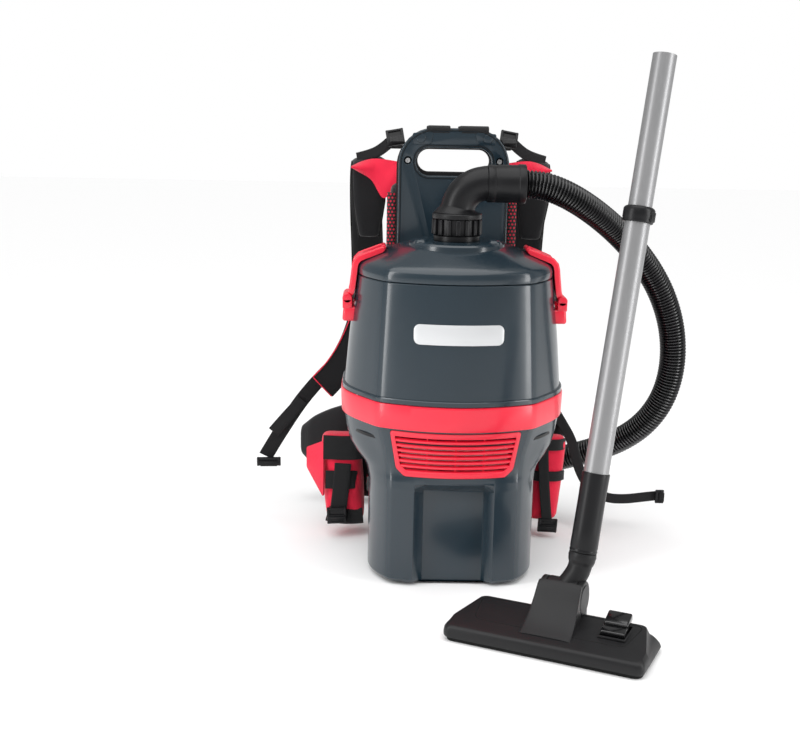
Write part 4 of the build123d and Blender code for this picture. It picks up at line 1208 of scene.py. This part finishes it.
clips = [
    laid(ladder_buckle(0.030, 0.026, 0.0050), (-0.1655, 0.0835, 0.036), (1, 0, 0.05), (0, -1, 0)),
    laid(ladder_buckle(0.030, 0.022, 0.0046), (0.160, 0.0952, 0.020), (1, 0, -0.05), (0, -1, 0)),
    laid(ladder_buckle(0.0385, 0.0145, 0.0048), (-0.280, 0.2095, 0.0835), (1, 0, 0.02), (0, -1, 0)),
    laid(ladder_buckle(0.0215, 0.0135, 0.0040), (0.338, 0.1225, 0.060), (0, 0, 1), (0, -1, 0)),
]
clips = joined("strap_clips", clips)
placed(clips, "pack", "black_satin", black_satin, "strap_buckles", angle=40)

# ------------------------------------------------------------------ floor tool, in its own frame
tool_x, tool_y = Vector((0.8999, -0.4360, 0)), Vector((0.4360, 0.8999, 0))
tool_frame = Matrix((tool_x, tool_y, Vector((0, 0, 1)))).transposed().to_4x4()
tool_frame.translation = Vector((0.113, -0.296, 0))


wheel_x, drum_y, pedal_x = 0.096, 0.041, 0.077


def in_tool(piece):
    """Moves a piece modelled in the tool's own frame to its place."""
    fixed(piece)
    piece.matrix_world = tool_frame @ piece.matrix_world
    return fixed(piece)


def tool_outline(grow, z, narrow=0.0):
    """Plan of the head: a long front edge and ends that draw in toward the rear as they rise."""
    rear = 0.1275 - grow - narrow
    corners = [(-0.1275 + grow, -0.0505 + grow), (0.1275 - grow, -0.0505 + grow), (0.1280 - grow, -0.020),
               (rear, 0.0505 - grow), (-rear, 0.0505 - grow), (-0.1280 + grow, -0.020)]
    points = rounded_corners(corners, [0.010, 0.010, 0.012, 0.010, 0.010, 0.012], 6)
    return [(p.x, p.y, z) for p in points]


def top_height(y):
    """The head's top: highest under the drum, falling forward to the front edge."""
    return 0.0200 + 0.0085 * min(1.0, max(0.0, (y + 0.048) / 0.075)) ** 0.8


levels = [(0.0030, 0.0040, 0), (0.0012, 0.0048, 0), (0.0002, 0.0066, 0), (0.0, 0.0100, 0.002),
          (0.0003, 0.0140, 0.006),
          (0.0010, 0.0172, 0.010), (0.0026, 0.0196, 0.013), (0.0050, None, 0.015), (0.0080, None, 0.016),
          (0.0130, None, 0.016), (0.0200, None, 0.016), (0.0300, None, 0.016), (0.0400, None, 0.016)]
rings = []
for grow, z, narrow in levels:
    ring = tool_outline(grow, 0, narrow)
    rings.append([(x, y, z if z is not None else top_height(y)) for x, y, _ in ring])
head = lofted("head", rings, first=True, last=True)
# wells for the wheels, and the mouth underneath
for x in (-wheel_x, wheel_x):
    cut(head, block((0.0112, 0.0246, 0.030), (x, 0.041, 0.0075), 0.0008, 1))
cut(head, block((0.205, 0.024, 0.012), (0, -0.008, 0.0030), 0.001, 1))
cut(head, block((0.0312, 0.0422, 0.0200), (pedal_x, 0.014, 0.0285), 0.0005, 1))  # the pedal's pocket
in_tool(head)
placed(head, "floor_tool", "tool_black", tool_black, "tool_body", angle=34)
sole = lofted("tool_sole", [tool_outline(0.0034, z) for z in (0.0002, 0.0040)], True, True)
cut(sole, block((0.205, 0.024, 0.012), (0, -0.008, 0.0030), 0.001, 1))
for y in (-0.038, 0.020):
    cut(sole, block((0.2360, 0.0062, 0.030), (0, y, 0), 0, 1))
for x in (-wheel_x, wheel_x):
    cut(sole, block((0.0112, 0.0246, 0.030), (x, 0.041, 0.0075), 0.0008, 1))
in_tool(sole)
placed(sole, "floor_tool", "rubber_black", rubber, "sole_plate", angle=34)


def seam_line(points, width=0.0006):
    """A thin dark joint line lying on the head."""
    line = [Vector((x, y, top_height(y) + 0.0001)) for x, y in points]
    stations, _ = at_lengths(line, 0.004)
    section = [(width, 0), (0, 0.0003), (-width, 0), (0, -0.0004)]
    return swept("seam", stations, lambda s: section, (0, 0, 1))


seam = [(p.x, p.y) for p in rounded_corners(
    [(-0.096, -0.0200), (0.096, -0.0200), (0.1060, 0.0400), (-0.1060, 0.0400)], [0.012, 0.012, 0.008, 0.008],
    5)]
seam = in_tool(seam_line(seam + seam[:1]))
placed(seam, "floor_tool", "rubber_black", rubber)

# saddle: a broad ramp that sweeps up from the head to the drum, with round cheeks
profile = [  # y, height, half width
    (-0.0330, 0.0238, 0.0330), (-0.0300, 0.0252, 0.0328), (-0.0240, 0.0276, 0.0324),
    (-0.0160, 0.0316, 0.0318),
    (-0.0080, 0.0366, 0.0310), (0.0, 0.0432, 0.0302), (0.0070, 0.0505, 0.0295), (0.0130, 0.0580, 0.0289),
    (0.0180, 0.0648, 0.0285), (0.0220, 0.0700, 0.0282), (0.0248, 0.0727, 0.0280), (0.0272, 0.0738, 0.0278),
    (0.0285, 0.0730, 0.0276)]
rings = []
for y, z, half in profile:
    top = [(u * half, y, z - 0.0012 * u ** 4 - (0.0007 if abs(u) > 0.97 else 0))
           for u in (-1.0, -0.97, -0.90, -0.75, -0.5, -0.25, 0, 0.25, 0.5, 0.75, 0.90, 0.97, 1.0)]
    low = 0.0210
    rings.append(top + [(half * 1.01, y, (z + low) / 2), (half * 1.02, y, low), (0, y, low),
                        (-half * 1.02, y, low),
                        (-half * 1.01, y, (z + low) / 2)])
ramp = lofted("ramp", rings, True, True)
cut(ramp, round_bar(0.0238, 0.0400, (0, drum_y, 0.050), (1, 0, 0), 0, 56))
cheeks = [ramp]
for side in (-1, 1):
    cheeks.append(round_bar(0.0238, 0.0078, (side * 0.0238, drum_y, 0.0488), (1, 0, 0), 0.0016, 56))
    cheeks.append(block((0.0078, 0.0400, 0.0270), (side * 0.0238, 0.0380, 0.0345), 0.0016, 2))
    cheeks.append(turned("cap", [(0.0190, 0.0004), (0.0186, 0.0014), (0.0, 0.0018)],
                         (side * 0.0274, drum_y, 0.0488), (side, 0, 0), 40))
saddle = in_tool(joined("tool_saddle", cheeks))
placed(saddle, "floor_tool", "tool_black", tool_black, "tool_cover", angle=36)

# pedal: a two-step rocker in a shallow frame
steps = [block((0.0300, 0.0250, 0.0100), (pedal_x, 0.0225, 0.0385), 0.0022, 3, turn=(0.30, 0, 0)),
         block((0.0300, 0.0170, 0.0085), (pedal_x, 0.0030, 0.0312), 0.0018, 3, turn=(0.16, 0, 0)),
         block((0.0240, 0.0260, 0.0060), (pedal_x, 0.0130, 0.0320), 0.0010, 1)]
rocker = in_tool(joined("pedal_rocker", steps))
placed(rocker, "tool_pedal", "black_gloss", black_gloss, "pedal", angle=36)
surround = in_tool(cut(block((0.0350, 0.0460, 0.0035), (pedal_x, 0.0140, 0.0266), 0.0012, 2),
                       block((0.0312, 0.0422, 0.010), (pedal_x, 0.0140, 0.0266))))
placed(surround, "floor_tool", "tool_black", tool_black, angle=36)

# neck: a drum between the cheeks, a bent pipe and the step to the cuff
wand_foot, wand_way = Vector((0.155, -0.250, 0.105)), Vector((0.138719, 0.159447, 0.977412))
drum_at = tool_frame @ Vector((0, drum_y, 0.050))
drum = round_bar(0.0230, 0.0388, drum_at, tool_x, 0.0016, 64)
pin = round_bar(0.0060, 0.0480, drum_at, tool_x, 0.0008, 32)
line = smooth_line([drum_at + Vector((0, 0, 0.006)), drum_at.lerp(wand_foot - wand_way * 0.020, 0.55),
                    wand_foot - wand_way * 0.020, wand_foot - wand_way * 0.0005])
stations, neck_length = at_lengths(line, 0.0022)


def neck_section(s):
    back_from_end = neck_length - s
    bead = 0.0007 * math.exp(-((back_from_end - 0.004) / 0.0016) ** 2)
    return circle(0.0172 + bead - 0.0022 * min(1.0, max(0.0, (back_from_end - 0.010) / 0.006)), 56)


pipe = swept("pipe", stations, neck_section, (1, 0, 0))
neck = joined("neck_bend", [drum, pin, pipe])
placed(neck, "tool_neck", "tool_black", tool_black, "neck_elbow", angle=42)

# ------------------------------------------------------------------ wand: cuff, and ring with its clip
cuff = turned("tool_cuff_sleeve", [
    (0.0132, 0.0), (0.0168, 0.0), (0.0175, 0.0008), (0.0176, 0.0030), (0.0172, 0.0040), (0.0172, 0.0052),
    (0.0176, 0.0062), (0.0174, 0.0300), (0.0173, 0.0700), (0.0176, 0.0950), (0.0177, 0.1000),
    (0.0174, 0.1016),
    (0.0166, 0.1020), (0.01605, 0.1020), (0.01605, 0.0420), (0.0132, 0.0420), (0.0132, 0.0)], wand_foot,
    wand_way)
placed(cuff, "wand", "black_satin", black_satin, "tool_cuff")
ring = turned("ring", [
    (0.0161, 0.4180), (0.0184, 0.4180), (0.0192, 0.4188), (0.0194, 0.4200), (0.0194, 0.4230),
    (0.0198, 0.4238),
    (0.0198, 0.4345), (0.0192, 0.4358), (0.0178, 0.4372), (0.0166, 0.4379), (0.0155, 0.4380),
    (0.0155, 0.4284),
    (0.0161, 0.4280), (0.0161, 0.4180)], wand_foot, wand_way)
clip_way = Vector((0.75, -0.66, 0))
clip_way = (clip_way - wand_way * clip_way.dot(wand_way)).normalized()
clip = block((0.0085, 0.0100, 0.0130), (0, 0, 0), 0.0016, 3)
clip.matrix_world = Matrix.LocRotScale(
    wand_foot + wand_way * 0.4262 + clip_way * 0.0175,
    Matrix((clip_way, wand_way.cross(clip_way), wand_way)).transposed(), None)
fixed(clip)
ring = joined("tube_ring_collar", [ring, clip])
placed(ring, "wand", "black_satin", black_satin, "tube_ring", angle=40)

# ------------------------------------------------------------------ finishes of the CAD parts left showing
cad_finish = {
    "slate_gloss": slate, "red_gloss": red, "black_satin": black_satin, "black_gloss": black_gloss,
    "hose_black": hose_black, "tube_silver": tube_silver, "fabric_black": fabric_black,
    "fabric_red": fabric_red, "webbing_black": webbing_black, "steel": steel, "tool_black": tool_black,
    "rubber_black": rubber, "filter_cloth": filter_cloth, "bag_paper": bag_paper,
    "badge_silver": badge, "circuit": circuit,
}
for entry in frame["record"]["subparts"]:
    node = frame["nodes"][entry["node"]]
    node.data.materials.clear()
    node.data.materials.append(cad_finish[entry["material_slot"]])

# ------------------------------------------------------------------ floor and lights
backdrop = lofted("floor_sheet", [[(x, y, -0.0005) for x in (-9, 9)] for y in (-9, 9)], closed=False)
settled(backdrop, 60)
paper = Finish("backdrop_paper", (0.93, 0.93, 0.93), 0.7)
painted(backdrop, paper.material)

world = D.worlds.new("studio")
bpy.context.scene.world = world
world.use_nodes = True
nodes, links = world.node_tree.nodes, world.node_tree.links
room = nodes["Background"]
room.inputs[0].default_value, room.inputs[1].default_value = (1.0, 1.0, 1.0, 1), 0.40
seen = nodes.new("ShaderNodeBackground")
seen.inputs[0].default_value, seen.inputs[1].default_value = (1.0, 1.0, 1.0, 1), 1.0
ray, blend = nodes.new("ShaderNodeLightPath"), nodes.new("ShaderNodeMixShader")
links.new(ray.outputs["Is Camera Ray"], blend.inputs[0])
links.new(room.outputs[0], blend.inputs[1])
links.new(seen.outputs[0], blend.inputs[2])
links.new(blend.outputs[0], nodes["World Output"].inputs[0])
bpy.context.scene.view_settings.view_transform = "Standard"


def softbox(at, target, size, power):
    light = D.lights.new("softbox", "AREA")
    light.shape, light.size, light.size_y, light.energy = "RECTANGLE", size[0], size[1], power
    holder = linked("softbox", light)
    holder.location = at
    holder.rotation_euler = (Vector(target) - Vector(at)).to_track_quat("-Z", "Y").to_euler()


softbox((-1.3, -0.75, 0.75), (0, 0, 0.3), (0.35, 1.5), 12)
softbox((1.35, -0.75, 0.75), (0, 0, 0.3), (0.35, 1.5), 12)
sky = D.lights.new("sky_panel", "SUN")
sky.energy, sky.angle = 2.3, 1.3
holder = linked("sky_panel", sky)
holder.rotation_euler = Vector((0.10, 0.22, -1)).to_track_quat("-Z", "Y").to_euler()
